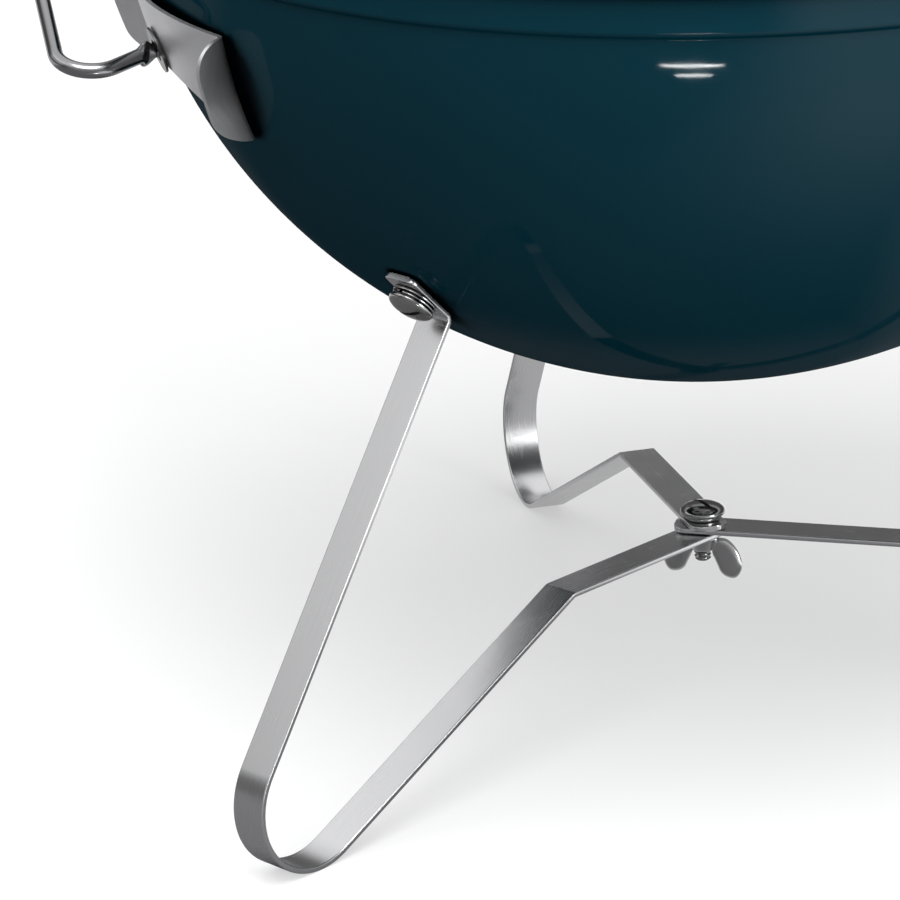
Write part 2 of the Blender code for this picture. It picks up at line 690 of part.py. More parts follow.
def lid_handle():
    """Nylon grip bar with two posts that stand on the heat shield."""
    post_low = shield_height_at(HANDLE_POST_X - 8 * MM) + SHIELD_SHEET / 2 + 0.5 * MM
    grip_z = HANDLE_TOP_Z - GRIP_RADIUS
    path = fillet(
        (HANDLE_POST_X, post_low), (HANDLE_POST_X, grip_z), (0, grip_z), 14 * MM, 5
    )
    half = [Vector((HANDLE_POST_X, post_low))] + path
    points = [(p.x, 0, p.y) for p in half] + [(-p.x, 0, p.y) for p in reversed(half)]
    obj = wire_object("lid_handle", points, GRIP_RADIUS, 3)
    obj.data.materials.append(NYLON)
    for side in (-1, 1):
        place = Matrix.Translation((side * HANDLE_POST_X, 0, 0))
        low, high = 380 * MM, post_low + 13 * MM
        cut(obj, drill(f"handle_bore_{side}", SCREW_SHANK + GAP, low, high, place))
        label = "left" if side < 0 else "right"
        z = lid_height_at(HANDLE_POST_X - 8 * MM) - 1.6 * MM
        profile = [
            (0, high - 2 * MM),
            (SCREW_SHANK, high - 2 * MM),
            (SCREW_SHANK, z - 2.0 * MM),
            (4.6 * MM, z - 2.0 * MM),
            (4.2 * MM, z - 4.2 * MM),
            (0, z - 4.2 * MM),
        ]
        turned(f"lid_handle_screw_{label}", profile, STEEL, ROUND, place)
    return obj


def shield_height_at(x):
    """Mid-surface of the heat shield: it follows the lid and flares up at its ends."""
    flare = max(abs(x) - 50 * MM, 0)
    return lid_height_at(abs(x)) + SHEET + SHIELD_SHEET / 2 + 0.5 * MM + 0.6 * flare


def heat_shield():
    columns = 10
    path = []
    for k in range(columns + 1):
        x = SHIELD_HALF_LENGTH * (2 * k / columns - 1)
        path.append((x, shield_height_at(x)))
    obj = strip(
        "lid_heat_shield", path, 2 * SHIELD_HALF_WIDTH, SHIELD_SHEET, STEEL, 8 * MM, 8 * MM
    )
    for side in (-1, 1):
        place = Matrix.Translation((side * HANDLE_POST_X, 0, 0))
        cut(obj, drill(f"shield_hole_{side}", SCREW_SHANK + GAP, 370 * MM, 400 * MM, place))
    return obj


def rivet(name, place, look, head_at, tail_at):
    """Low domed head outside, flat peened head inside, along local Z."""
    profile = [
        (0, head_at + 1.8 * MM),
        (2.6 * MM, head_at + 1.4 * MM),
        (4.6 * MM, head_at),
        (RIVET_RADIUS, head_at),
        (RIVET_RADIUS, tail_at),
        (4 * MM, tail_at),
        (3.6 * MM, tail_at - 1.2 * MM),
        (0, tail_at - 1.2 * MM),
    ]
    return turned(name, profile, look, ROUND, place)


def centre_on_footprint():
    """Hangs every object on an empty that brings the middle of the footprint to the origin."""
    bpy.context.view_layer.update()
    graph = bpy.context.evaluated_depsgraph_get()
    corners = []
    for obj in PARTS.objects:
        seen = obj.evaluated_get(graph)
        corners += [seen.matrix_world @ Vector(corner) for corner in seen.bound_box]
    stand = bpy.data.objects.new("footprint_centre", None)
    PARTS.objects.link(stand)
    for axis in (0, 1):
        values = [corner[axis] for corner in corners]
        stand.location[axis] = -(min(values) + max(values)) / 2
    for obj in [*PARTS.objects, *CUTTERS.objects]:
        if obj != stand:
            obj.parent = stand


clear_scene()
PARTS = new_collection("portable_kettle_grill")
CUTTERS = new_collection("cutters", hidden=True)
ENAMEL = material("petrol_enamel", (0.010, 0.033, 0.044), 0.12, 0.0)
STEEL = material("plated_steel", (0.62, 0.62, 0.61), 0.32, 1.0)
CHROME = material("chromed_wire", (0.74, 0.75, 0.76), 0.14, 1.0)
ALUMINIUM = material("aluminium", (0.70, 0.70, 0.69), 0.38, 1.0)
GRATE_STEEL = material("plated_grate", (0.56, 0.56, 0.55), 0.3, 1.0)
NYLON = material("black_nylon", (0.012, 0.012, 0.013), 0.45, 0.0)

bowl()
lid()
for leg_name, (leg_azimuth, leg_layer) in LEGS.items():
    leg(leg_name, leg_azimuth, leg_layer)
    leg_fasteners(leg_name, leg_azimuth)
hub()
bracket("bracket_left", -1)
bracket("bracket_right", 1)
bail()
grate("cooking_grate", GRATE_STEEL, COOKING_RADIUS, COOKING_Z, COOKING_PITCH, (-90 * MM, 90 * MM))
grate("charcoal_grate", GRATE_STEEL, CHARCOAL_RADIUS, CHARCOAL_Z, CHARCOAL_PITCH, (-60 * MM, 60 * MM))
BOWL_DAMPER_PLACE = Matrix.Translation((0, 0, EQUATOR_Z - BOWL_SEMI_HEIGHT)) @ Matrix.Rotation(pi, 4, "X")
damper("bowl_damper", ALUMINIUM, 190 * MM, BOWL_DAMPER_PLACE)
rivet("bowl_damper_rivet", BOWL_DAMPER_PLACE, ALUMINIUM, 1.8 * MM, -SHEET - GAP)
damper("lid_damper", ALUMINIUM, LID_DAMPER_DISH, lid_damper_place())
rivet("lid_damper_rivet", lid_damper_place(), ALUMINIUM, 1.8 * MM, -SHEET - 1.6 * MM)
heat_shield()
lid_handle()
centre_on_footprint()
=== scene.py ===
"""Looks for the portable kettle grill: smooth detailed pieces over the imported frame, soft studio
light, and a camera in front of its left side. Metres, +Z up. Every piece is modelled from the
bowl's axis, and GRILL moves it into the frame."""

from math import acos, atan2, cos, hypot, pi, radians, sin, sqrt, tan

import bmesh
import bpy
from mathutils import Matrix, Vector

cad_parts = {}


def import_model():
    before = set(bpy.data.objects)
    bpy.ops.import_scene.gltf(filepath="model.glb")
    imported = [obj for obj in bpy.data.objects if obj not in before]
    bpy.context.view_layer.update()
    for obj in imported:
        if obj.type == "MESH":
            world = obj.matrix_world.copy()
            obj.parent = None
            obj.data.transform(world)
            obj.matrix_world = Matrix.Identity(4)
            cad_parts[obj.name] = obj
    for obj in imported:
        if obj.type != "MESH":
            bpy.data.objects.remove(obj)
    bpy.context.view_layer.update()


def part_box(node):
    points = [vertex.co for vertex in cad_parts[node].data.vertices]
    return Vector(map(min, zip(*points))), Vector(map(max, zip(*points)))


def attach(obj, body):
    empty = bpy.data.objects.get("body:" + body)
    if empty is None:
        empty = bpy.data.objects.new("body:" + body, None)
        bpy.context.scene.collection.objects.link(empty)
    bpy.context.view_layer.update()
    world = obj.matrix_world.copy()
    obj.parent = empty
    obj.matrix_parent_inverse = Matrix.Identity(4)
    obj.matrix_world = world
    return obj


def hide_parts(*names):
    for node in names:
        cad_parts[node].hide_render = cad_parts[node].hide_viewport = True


MM = 0.001
UP = Vector((0, 0, 1))

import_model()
BOWL_LOW, BOWL_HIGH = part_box("bowl")
GRILL = Matrix.Translation(((BOWL_LOW[0] + BOWL_HIGH[0]) / 2, (BOWL_LOW[1] + BOWL_HIGH[1]) / 2, 0))

# Bowl and lid.
RIM_Z = BOWL_HIGH[2]
BOWL_BOTTOM = BOWL_LOW[2]
BOWL_RADIUS = 180 * MM
BOWL_SEMI_HEIGHT = 172.6 * MM
EQUATOR_Z = BOWL_BOTTOM + BOWL_SEMI_HEIGHT
SHEET = 1.2 * MM
GAP = 0.25 * MM
STEP_LOW_Z = 270.5 * MM
STEP_HIGH_Z = 274.5 * MM
CREASE_HEIGHT = 1.6 * MM
BAND_RADIUS = 180.6 * MM
RIM_BEAD = 1.6 * MM
LID_RADIUS = 178.5 * MM
LID_HEIGHT = 98 * MM
SKIRT_INNER = BAND_RADIUS + RIM_BEAD + 0.5 * MM
SKIRT_LOW_Z = 284.5 * MM
SHELL_STEPS = 240

# Dampers.
DAMPER_RADIUS = 32 * MM
DAMPER_SHEET = 1.0 * MM
VENT_RADIUS = 7 * MM
VENT_CIRCLE = 18 * MM
VENTS = 3
LID_DAMPER_REACH = 85 * MM
LID_DAMPER_DISH = 280 * MM
BOWL_DAMPER_DISH = 190 * MM
RIVET_RADIUS = 2.4 * MM
RIVET_HEAD = (4.6 * MM, 1.8 * MM)

# Legs.
STRAP_WIDTH = 12.6 * MM
STRAP = 1.8 * MM
STRAP_EDGE = 0.45 * MM
STACK_PITCH = STRAP + GAP
FOOT_RADIUS = 24.4 * MM
FOOT_CENTRE = 185.2 * MM
KNEE_RADIUS = 68.9 * MM
HUB_OVERRUN = 9.1 * MM
FIRST_STRAP_TOP = 56.1 * MM
BOLT_Z = 170.9 * MM
TAB_ABOVE_BOLT = 10.6 * MM
TAB_BELOW_BOLT = 11.8 * MM
BEND_RADIUS = 2.6 * MM
# Each leg's direction in degrees about the bowl's axis, and its place in the stack at the hub.
LEGS = {"front_left": (210, 0), "front_right": (330, 1), "rear": (90, 2)}

# Quarter-inch hardware. A washer is its outer radius and its thickness.
THREAD_RADIUS = 2.8 * MM
THREAD_DEPTH = 0.42 * MM
THREAD_PITCH = 1.27 * MM
HOLE = 3.2 * MM
HEAD_RADIUS = 7.4 * MM
HEAD_HEIGHT = 3.6 * MM
HEAD_EDGE = 0.8 * MM
SLOT_WIDTH = 1.5 * MM
SLOT_TURN = radians(105)
SLOT_DEPTH = 1.3 * MM
FLAT_WASHER = (7.3 * MM, 0.8 * MM)
LEG_LOCK_WASHER = (7.0 * MM, 0.8 * MM)
HUB_LOCK_WASHER = (5.8 * MM, 1.2 * MM)
NUT_APOTHEM = 5.5 * MM
NUT_HEIGHT = 5.4 * MM

# Wing nut.
WING_NUT_TURN = radians(-40)
WING_NUT_HEIGHT = 4.6 * MM
WING_THICKNESS = 2.5 * MM
WING_EDGE_INSET = 1.8 * MM
CASTING_VOXEL = 0.22 * MM

# Grates: ring radius, height of the ring, pitch of the bars, distance of each cross bar.
WIRE = 2.0 * MM
COOKING_GRATE = (176 * MM, 277 * MM, 15 * MM, 90 * MM)
CHARCOAL_GRATE = (137.3 * MM, 187 * MM, 19.5 * MM, 60 * MM)

# Bracket and bail.
BRACKET_SHEET = 1.2 * MM
BRACKET_HALF_ANGLE = radians(17.4)
BRACKET_TOP_SPREAD = radians(1.1)
BRACKET_TOP_Z = 253.8 * MM
BRACKET_END_Z = 219.5 * MM
BRACKET_MID_Z = 231.5 * MM
BRACKET_CONTACT = 1.0 * MM
BRACKET_BULGE = 2.0 * MM
WING_WIDTH = 13.5 * MM
WING_FLARE = radians(14)
WING_TOP_DROP = 12 * MM
WING_LOW_RISE = 9 * MM
PIVOT_Z = 236.5 * MM
PIVOT_X = 173.9 * MM
PIVOT_HOLE = 3.2 * MM
PIVOT_WASHER = (7.5 * MM, 0.8 * MM)
BAIL_WIRE = 2.4 * MM
BAIL_REST = radians(74)
BAIL_BAR = 194.5 * MM
KINK_X = 176.5 * MM
STUB_TILT = radians(28)
ARM_LEAN = radians(5.4)
ARM_X = 206.9 * MM
EAR_AT = 3.4 * MM
EAR_REACH = 2.1 * MM
EAR_PINCH = 1.1 * MM
LOWER_BEND = 11 * MM
UPPER_BEND = 20 * MM

# Lid handle and heat shield.
HANDLE_POST_X = 40 * MM
HANDLE_TOP_Z = 424.5 * MM
GRIP_RADIUS = 7.5 * MM
SHIELD_HALF_LENGTH = 62 * MM
SHIELD_HALF_WIDTH = 20 * MM
SHIELD_SHEET = 1.0 * MM
SCREW_SHANK = 2.2 * MM

# The camera: its place from the bowl's axis, view direction, roll and lens.
CAMERA_PLACE = Vector((-0.4797, -1.4083, 0.6241))
CAMERA_FORWARD = Vector((0.25343, 0.90544, -0.34053))
CAMERA_ROLL = radians(-1.57)
CAMERA_LENS = 193.3


# ---------------- mesh helpers


def skin(rings, wrap=True, loop=False, caps=False, grain_on_path=True):
    """Joins rings of points into one mesh. Its UV map holds metres along and across the grain."""
    bm = bmesh.new()
    grain = bm.loops.layers.uv.new("grain")
    verts = [[bm.verts.new(point) for point in ring] for ring in rings]
    size = max(len(ring) for ring in rings)
    path = [0.0]
    for a, b in zip(rings, rings[1:] + rings[:1]):
        path.append(path[-1] + (Vector(b[0]) - Vector(a[0])).length)
    around = []
    for ring in rings:
        total = [0.0]
        for j in range(size):
            step = Vector(ring[(j + 1) % len(ring)]) - Vector(ring[j % len(ring)])
            total.append(total[-1] + step.length)
        around.append(total)

    def uv(i, j):
        along, across = path[i], around[i % len(rings)][j]
        return (along, across) if grain_on_path else (across, along)

    for i in range(len(rings) if loop else len(rings) - 1):
        for j in range(size if wrap else size - 1):
            spots = [(i, j), (i, j + 1), (i + 1, j + 1), (i + 1, j)]
            if len(verts[i]) == 1:
                spots.pop(0)
            elif len(verts[(i + 1) % len(rings)]) == 1:
                spots.pop(2)
            corners = []
            for row, column in spots:
                ring = verts[row % len(rings)]
                corners.append(ring[column % len(ring)])
            face = bm.faces.new(corners)
            for corner, spot in zip(face.loops, spots):
                corner[grain].uv = uv(*spot)
    if caps:
        bm.faces.new(verts[0][::-1])
        bm.faces.new(verts[-1])
    return bm


def mesh_of(bm, name, crease=32):
    bmesh.ops.recalc_face_normals(bm, faces=bm.faces)
    mesh = bpy.data.meshes.new(name)
    bm.to_mesh(mesh)
    bm.free()
    mesh.shade_smooth()
    mesh.set_sharp_from_angle(angle=radians(crease))
    return mesh


def lathe(profile, steps=64, loop=False):
    """Turns (radius, height) points about Z. A radius may be a function of the angle."""
    rings = []
    for radius, z in profile:
        if not callable(radius) and radius < 1e-7:
            rings.append([Vector((0, 0, z))])
            continue
        ring = []
        for k in range(steps):
            a = 2 * pi * k / steps
            r = radius(a) if callable(radius) else radius
            ring.append(Vector((r * cos(a), r * sin(a), z)))
        rings.append(ring)
    return skin(rings, loop=loop, grain_on_path=False)


def sweep(points, normal, section, loop=False, caps=True):
    """Carries a closed section, (side, lift) pairs or a function of the point's index, along a path."""
    rings = []
    count = len(points)
    for i, point in enumerate(points):
        before = points[(i - 1) % count] if loop or i else point
        after = points[(i + 1) % count] if loop or i + 1 < count else point
        side = (Vector(after) - Vector(before)).cross(normal).normalized()
        outline = section(i) if callable(section) else section
        rings.append([Vector(point) + side * s + normal * h for s, h in outline])
    return skin(rings, loop=loop, caps=caps and not loop)


def ellipse(a, b, steps):
    return [(a * cos(2 * pi * k / steps), b * sin(2 * pi * k / steps)) for k in range(steps)]


def circle(radius, steps=20):
    return ellipse(radius, radius, steps)


def rounded_box(width, height, radius, steps=3):
    """Outline of a rectangle with round corners, about its middle."""
    points = []
    for k, (sx, sy) in enumerate(((1, 1), (-1, 1), (-1, -1), (1, -1))):
        for m in range(steps + 1):
            a = pi / 2 * (k + m / steps)
            x = sx * (width / 2 - radius) + radius * cos(a)
            points.append((x, sy * (height / 2 - radius) + radius * sin(a)))
    return points


def bent_path(corners, radius, steps=8):
    """The polyline through the corners with an arc of the given radius at each inner corner."""
    corners = [Vector(corner) for corner in corners]
    radii = radius if isinstance(radius, (list, tuple)) else [radius] * (len(corners) - 2)
    path = [corners[0]]
    for before, corner, after, bend in zip(corners, corners[1:], corners[2:], radii):
        a = (before - corner).normalized()
        b = (after - corner).normalized()
        half = a.angle(b) / 2
        start = corner + a * bend / tan(half)
        centre = corner + (a + b).normalized() * bend / sin(half)
        for k in range(steps + 1):
            turn = (pi - 2 * half) * k / steps
            path.append(centre + (start - centre) * cos(turn) - a * bend * sin(turn))
    path.append(corners[-1])
    return path


def spaced(points, step):
    """The same path with no stretch longer than the step."""
    path = [points[0]]
    for a, b in zip(points, points[1:]):
        parts = max(1, int((b - a).length / step))
        path += [a.lerp(b, (k + 1) / parts) for k in range(parts)]
    return path


def new_object(name, data, place=Matrix()):
    obj = bpy.data.objects.new(name, data)
    bpy.context.scene.collection.objects.link(obj)
    obj.matrix_world = GRILL @ place
    return obj


def piece(name, bm, place=Matrix(), crease=32):
    return new_object(name, mesh_of(bm, name, crease), place)


def settle(obj, crease=32):
    """Turns the modifiers' result into the object's own mesh."""
    bpy.context.view_layer.update()
    graph = bpy.context.evaluated_depsgraph_get()
    mesh = bpy.data.meshes.new_from_object(obj.evaluated_get(graph))
    obj.modifiers.clear()
    obj.data = mesh
    mesh.shade_smooth()
    mesh.set_sharp_from_angle(angle=radians(crease))


def combine(obj, tools, operation, crease=32):
    """Cuts or joins the (mesh, place) tools into the object."""
    helpers = [new_object(f"tool_{k}", mesh, place) for k, (mesh, place) in enumerate(tools)]
    for tool in helpers:
        step = obj.modifiers.new(tool.name, "BOOLEAN")
        step.operation = operation
        step.object = tool
    settle(obj, crease)
    for tool in helpers:
        bpy.data.objects.remove(tool)


def drill(radius, low, high, place=Matrix()):
    """Round cutting tool along local Z."""
    bm = lathe([(0, low), (radius, low), (radius, high), (0, high)], 48)
    return mesh_of(bm, "drill"), place


def block(x, y, z, place):
    """Box-shaped cutting tool about its place."""
    bm = bmesh.new()
    bmesh.ops.create_cube(bm, size=1)
    bmesh.ops.scale(bm, verts=bm.verts, vec=(x, y, z))
    return mesh_of(bm, "block"), place


def finish(obj, look, body, slot, *nodes):
    """Gives a piece its material and its body, and hides the CAD nodes it stands for. The slot is not used.
    """
    obj.data.materials.clear()
    obj.data.materials.append(look)
    weighted = obj.modifiers.new("normals", "WEIGHTED_NORMAL")
    weighted.keep_sharp = True
    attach(obj, body)
    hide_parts(*nodes)
    return obj


def frame_from(origin, normal, towards):
    """Placement whose local Z is normal and whose local X leans towards the given direction."""
    z = Vector(normal).normalized()
    y = z.cross(Vector(towards)).normalized()
    x = y.cross(z)
    return Matrix.Translation(origin) @ Matrix((x, y, z)).transposed().to_4x4()


def turn_about_z(angle):
    return Matrix.Rotation(angle, 4, "Z")


def move(x, y, z):
    return Matrix.Translation((x, y, z))


# ---------------- materials

# Enamel's darker and lighter tone, and the near-black painted shade it takes right beside the metal on it.
ENAMEL_DEEP = (0.0008, 0.0310, 0.0480)
ENAMEL_CLEAR = (0.0016, 0.0370, 0.0560)
ENAMEL_PAINTED_SHADE = (0.0004, 0.0015, 0.0022)
# Share of clear gloss over the enamel, seen square on and at a grazing angle.
GLOSS_FACING = 0.011
GLOSS_GRAZING = 0.020
# How far a bracket or a strap still casts that painted shade, how open the space is where it fades out, and
# the share of gloss left in the darkest place of it.
PAINTED_SHADE_REACH = 30 * MM
PAINTED_SHADE_OPENNESS = (0.72, 0.89)
PAINTED_SHADE_GLOSS = 0.15

# The floor's tone, and the light it adds towards the camera: more in front and on the left, and enough
# far away to hide the horizon. Each pair of numbers is where a brightness fades, in metres.
FLOOR_PALE = (0.47, 0.47, 0.475)
GLOW_FRONT = 0.66
GLOW_BACK = 0.40
GLOW_DEPTH = (-0.45, 0.25)
GLOW_LEFT = 0.08
GLOW_SIDE = (-0.22, -0.09)
GLOW_FAR = 0.6
GLOW_DISTANCE = (0.6, 1.6)

# What reflections see instead: a greyer floor, painted darker for them, with brighter patches of painted
# light that glow only in reflections.
FLOOR_IN_REFLECTIONS = (0.20, 0.20, 0.205)
FRONT_PATCH = 1.25
FRONT_PATCH_DEPTH = (-0.42, -0.12)
FRONT_PATCH_SIDE = (-0.20, 0.10)
RIGHT_PATCH_NEAR = (0.06, 0.16)
RIGHT_PATCH_FAR = (0.20, 0.28)
MIDDLE_PATCH = 0.43
MIDDLE_PATCH_CENTRE = (0.05, 0.12, 0)
MIDDLE_PATCH_EDGE = (0.10, 0.19)
BACK_PATCH = 0.60
BACK_PATCH_DEPTH = (0.30, 0.50)


class Look:
    """A material or world under construction: adds nodes by type and links them by socket name."""

    def __init__(self, name, kind="materials"):
        self.material = getattr(bpy.data, kind).new(name)
        self.material.use_nodes = True
        self.tree = self.material.node_tree
        self.shader = self.tree.nodes.get("Principled BSDF")

    def add(self, kind, settings=None, **inputs):
        node = self.tree.nodes.new(kind)
        for key, value in (settings or {}).items():
            setattr(node, key, value)
        for key, value in inputs.items():
            self.put(node.inputs[key.replace("_", " ")], value)
        return node

    def put(self, socket, value):
        if isinstance(value, bpy.types.NodeSocket):
            self.tree.links.new(value, socket)
        else:
            socket.default_value = value

    def set(self, **inputs):
        for key, value in inputs.items():
            self.put(self.shader.inputs[key.replace("_", " ")], value)

    def noise(self, vector, scale, detail=2.0):
        node = self.add("ShaderNodeTexNoise", Vector=vector, Scale=scale, Detail=detail)
        return node.outputs["Fac"]

    def ramp(self, value, span, low, high, kind="SMOOTHSTEP"):
        """Goes from low to high as the value runs over the span."""
        node = self.add("ShaderNodeMapRange", {"interpolation_type": kind}, Value=value,
                        From_Min=span[0], From_Max=span[1], To_Min=low, To_Max=high)
        return node.outputs["Result"]

    def spread(self, value, low, high):
        """Stretches a noise's middle range to low and high."""
        return self.ramp(value, (0.3, 0.7), low, high, "LINEAR")

    def math(self, operation, result, *terms):
        for term in terms:
            node = self.add("ShaderNodeMath", {"operation": operation})
            self.put(node.inputs[0], result)
            self.put(node.inputs[1], term)
            result = node.outputs[0]
        return result

    def distance(self, place, centre):
        node = self.add("ShaderNodeVectorMath", {"operation": "DISTANCE"}, Vector=place)
        node.inputs[1].default_value = centre
        return node.outputs["Value"]

    def layer(self, share, under, over):
        """Mixes two shaders: the share is how much of the upper one shows."""
        node = self.add("ShaderNodeMixShader")
        self.put(node.inputs[0], share)
        self.put(node.inputs[1], under)
        self.put(node.inputs[2], over)
        return node.outputs[0]

    def blend(self, value, first, second):
        """Mixes two colours, each three numbers or a socket."""
        node = self.add("ShaderNodeMix", {"data_type": "RGBA"})
        self.put(node.inputs["Factor"], value)
        for socket, colour in ((node.inputs[6], first), (node.inputs[7], second)):
            self.put(socket, (*colour, 1) if isinstance(colour, tuple) else colour)
        return node.outputs[2]

    def bump(self, height, distance, strength=1.0, normal=None):
        node = self.add("ShaderNodeBump", Height=height, Distance=distance, Strength=strength)
        if normal:
            self.put(node.inputs["Normal"], normal)
        return node.outputs["Normal"]

    def object_place(self):
        return self.add("ShaderNodeTexCoord").outputs["Object"]

    def grain(self, along, across):
        """Coordinates stretched along the piece's grain, from its UV map in metres."""
        source = self.add("ShaderNodeUVMap", {"uv_map": "grain"}).outputs["UV"]
        mapped = self.add("ShaderNodeMapping", Vector=source, Scale=(along, across, 1))
        return mapped.outputs["Vector"]


def enamel():
    """Vitreous enamel: a deep petrol body under a thin gloss, with near-black painted shade beside the
    metal on it.
    """
    look = Look("petrol_enamel")
    place = look.object_place()
    colour = look.blend(look.noise(place, 9, 3), ENAMEL_DEEP, ENAMEL_CLEAR)
    # Painted shade: colour and gloss go near black where a bracket or strap closes in over the enamel.
    openness = look.add("ShaderNodeAmbientOcclusion", {"samples": 8}, Distance=PAINTED_SHADE_REACH).outputs["AO"]
    colour = look.blend(look.ramp(openness, PAINTED_SHADE_OPENNESS, 1, 0), colour, ENAMEL_PAINTED_SHADE)
    peel = look.bump(look.noise(place, 260, 2), 0.006 * MM, 0.5)
    fine = look.bump(look.noise(place, 1500, 2), 0.002 * MM, 0.5, peel)
    look.set(Base_Color=colour, Roughness=0.35, Specular_IOR_Level=0.0, Normal=fine)
    rough = look.spread(look.noise(place, 160, 3), 0.035, 0.07)
    gloss = look.add("ShaderNodeBsdfGlossy", Color=(1, 1, 1, 1), Roughness=rough, Normal=fine).outputs[0]
    facing = look.add("ShaderNodeLayerWeight", Blend=0.35).outputs["Facing"]
    share = look.ramp(facing, (0, 1), GLOSS_FACING, GLOSS_GRAZING)
    share = look.math("MULTIPLY", share, look.ramp(openness, PAINTED_SHADE_OPENNESS, PAINTED_SHADE_GLOSS, 1))
    top = look.layer(share, look.shader.outputs[0], gloss)
    look.put(look.tree.nodes["Material Output"].inputs["Surface"], top)
    return look.material


def metal(name, dark, light, rough, along, across, depth, shine):
    """Metal with fine lines along its grain, uneven sheen and slight patches of tone."""
    look = Look(name)
    lines = look.noise(look.grain(along, across), 1, 4)
    cloud = look.noise(look.object_place(), 55, 2)
    look.set(Base_Color=look.blend(look.spread(lines, 0, 1), dark, light))
    worn = look.math("ADD", look.spread(lines, rough - 0.02, rough + 0.03), look.spread(cloud, 0, 0.05))
    look.set(Metallic=1.0, Roughness=worn, Anisotropic=shine)
    tangent = look.add("ShaderNodeTangent", {"direction_type": "UV_MAP", "uv_map": "grain"})
    look.set(Tangent=tangent.outputs["Tangent"])
    scratches = look.bump(lines, depth, 0.4)
    look.set(Normal=look.bump(cloud, 0.004 * MM, 0.3, scratches))
    return look.material


def nylon():
    """Moulded black nylon with a fine pebble grain."""
    look = Look("black_nylon")
    place = look.object_place()
    pebbles = look.add("ShaderNodeTexVoronoi", Vector=place, Scale=2300).outputs["Distance"]
    tone = look.noise(place, 120, 3)
    look.set(Base_Color=look.blend(tone, (0.010, 0.010, 0.011), (0.018, 0.018, 0.019)))
    look.set(Roughness=look.spread(tone, 0.42, 0.54), IOR=1.5)
    look.set(Normal=look.bump(pebbles, 0.05 * MM, 0.6))
    return look.material


def floor_paint():
    """Pale matt floor that glows with painted light towards the camera, brighter towards the front.
    Reflections see it greyer, with brighter patches of painted light.
    """
    look = Look("pale_floor")
    place = look.object_place()
    side = look.add("ShaderNodeSeparateXYZ", Vector=place).outputs
    ray = look.add("ShaderNodeLightPath").outputs
    pale = look.blend(look.noise(place, 3, 2), FLOOR_PALE, tuple(value * 1.01 for value in FLOOR_PALE))
    colour = look.blend(ray["Is Camera Ray"], FLOOR_IN_REFLECTIONS, pale)
    look.set(Base_Color=colour, Roughness=0.9, Specular_IOR_Level=0.0)
    # Painted light: the floor glows for the camera, and its patches glow only in reflections.
    glow = look.math("MULTIPLY", ray["Is Camera Ray"], floor_glow(look, place, side))
    patch = look.math("MULTIPLY", ray["Is Glossy Ray"], floor_patch(look, place, side))
    look.set(Emission_Color=(1, 1, 1, 1), Emission_Strength=look.math("ADD", glow, patch))
    return look.material


def floor_glow(look, place, side):
    """The light that the floor adds towards the camera."""
    depth = look.ramp(side["Y"], GLOW_DEPTH, GLOW_FRONT, GLOW_BACK)
    left = look.ramp(side["X"], GLOW_SIDE, GLOW_LEFT, 0)
    far = look.ramp(look.distance(place, (0, 0, 0)), GLOW_DISTANCE, 0, GLOW_FAR)
    return look.math("ADD", depth, left, far)


def floor_patch(look, place, side):
    """Painted reflections: the brightest of the front, right, middle and back patches at each point."""
    front = look.ramp(side["Y"], FRONT_PATCH_DEPTH, FRONT_PATCH, 0)
    front = look.math("MULTIPLY", front, look.ramp(side["X"], FRONT_PATCH_SIDE, 0, 1))
    right = look.ramp(side["X"], RIGHT_PATCH_NEAR, 0, FRONT_PATCH)
    right = look.math("MULTIPLY", right, look.ramp(side["X"], RIGHT_PATCH_FAR, 1, 0))
    middle = look.ramp(look.distance(place, MIDDLE_PATCH_CENTRE), MIDDLE_PATCH_EDGE, MIDDLE_PATCH, 0)
    back = look.ramp(side["Y"], BACK_PATCH_DEPTH, 0, BACK_PATCH)
    return look.math("MAXIMUM", front, right, middle, back)


ENAMEL = enamel()
NYLON = nylon()

# Metals: dark and light tone, roughness, lines per metre along and across the grain, their depth
# and how far the shine is drawn out across them.
STEEL = metal("plated_steel", (0.61, 0.61, 0.62), (0.65, 0.65, 0.66), 0.22, 30, 5200, 0.0006 * MM, 0.5)
HARDWARE = metal("zinc_hardware", (0.30, 0.30, 0.30), (0.36, 0.36, 0.35), 0.11, 60, 2600, 0.0006 * MM, 0.2)
SHEET_STEEL = metal("sheet_steel", (0.62, 0.62, 0.63), (0.66, 0.66, 0.67), 0.42, 120, 900, 0.0002 * MM, 0.3)
CHROME = metal("chromed_wire", (0.27, 0.27, 0.28), (0.33, 0.33, 0.34), 0.17, 20, 3000, 0.0006 * MM, 0.3)
# Near-black steel for the bail's washers: painted shade for the dark their edges reflect.
WASHER_PAINTED_SHADE = metal("washer_painted_shade_steel", (0.07, 0.07, 0.07), (0.11, 0.11, 0.11), 0.24, 60, 2600, 0.0006 * MM, 0.2)
CAST = metal("cast_zinc", (0.64, 0.64, 0.64), (0.72, 0.72, 0.72), 0.15, 900, 900, 0.004 * MM, 0.0)
GRATE = metal("plated_grate", (0.50, 0.49, 0.47), (0.62, 0.61, 0.59), 0.2, 25, 2500, 0.0015 * MM, 0.3)
ALUMINIUM = metal("aluminium", (0.60, 0.60, 0.59), (0.72, 0.72, 0.71), 0.33, 30, 2600, 0.003 * MM, 0.4)


# ---------------- bowl, lid and dampers


def bowl_radius_at(z):
    return BOWL_RADIUS * sqrt(1 - ((EQUATOR_Z - z) / BOWL_SEMI_HEIGHT) ** 2)


def bowl_normal_at(z):
    """Outward (radial, vertical) normal of the bowl."""
    r = bowl_radius_at(z)
    return Vector((r / BOWL_RADIUS**2, (z - EQUATOR_Z) / BOWL_SEMI_HEIGHT**2)).normalized()


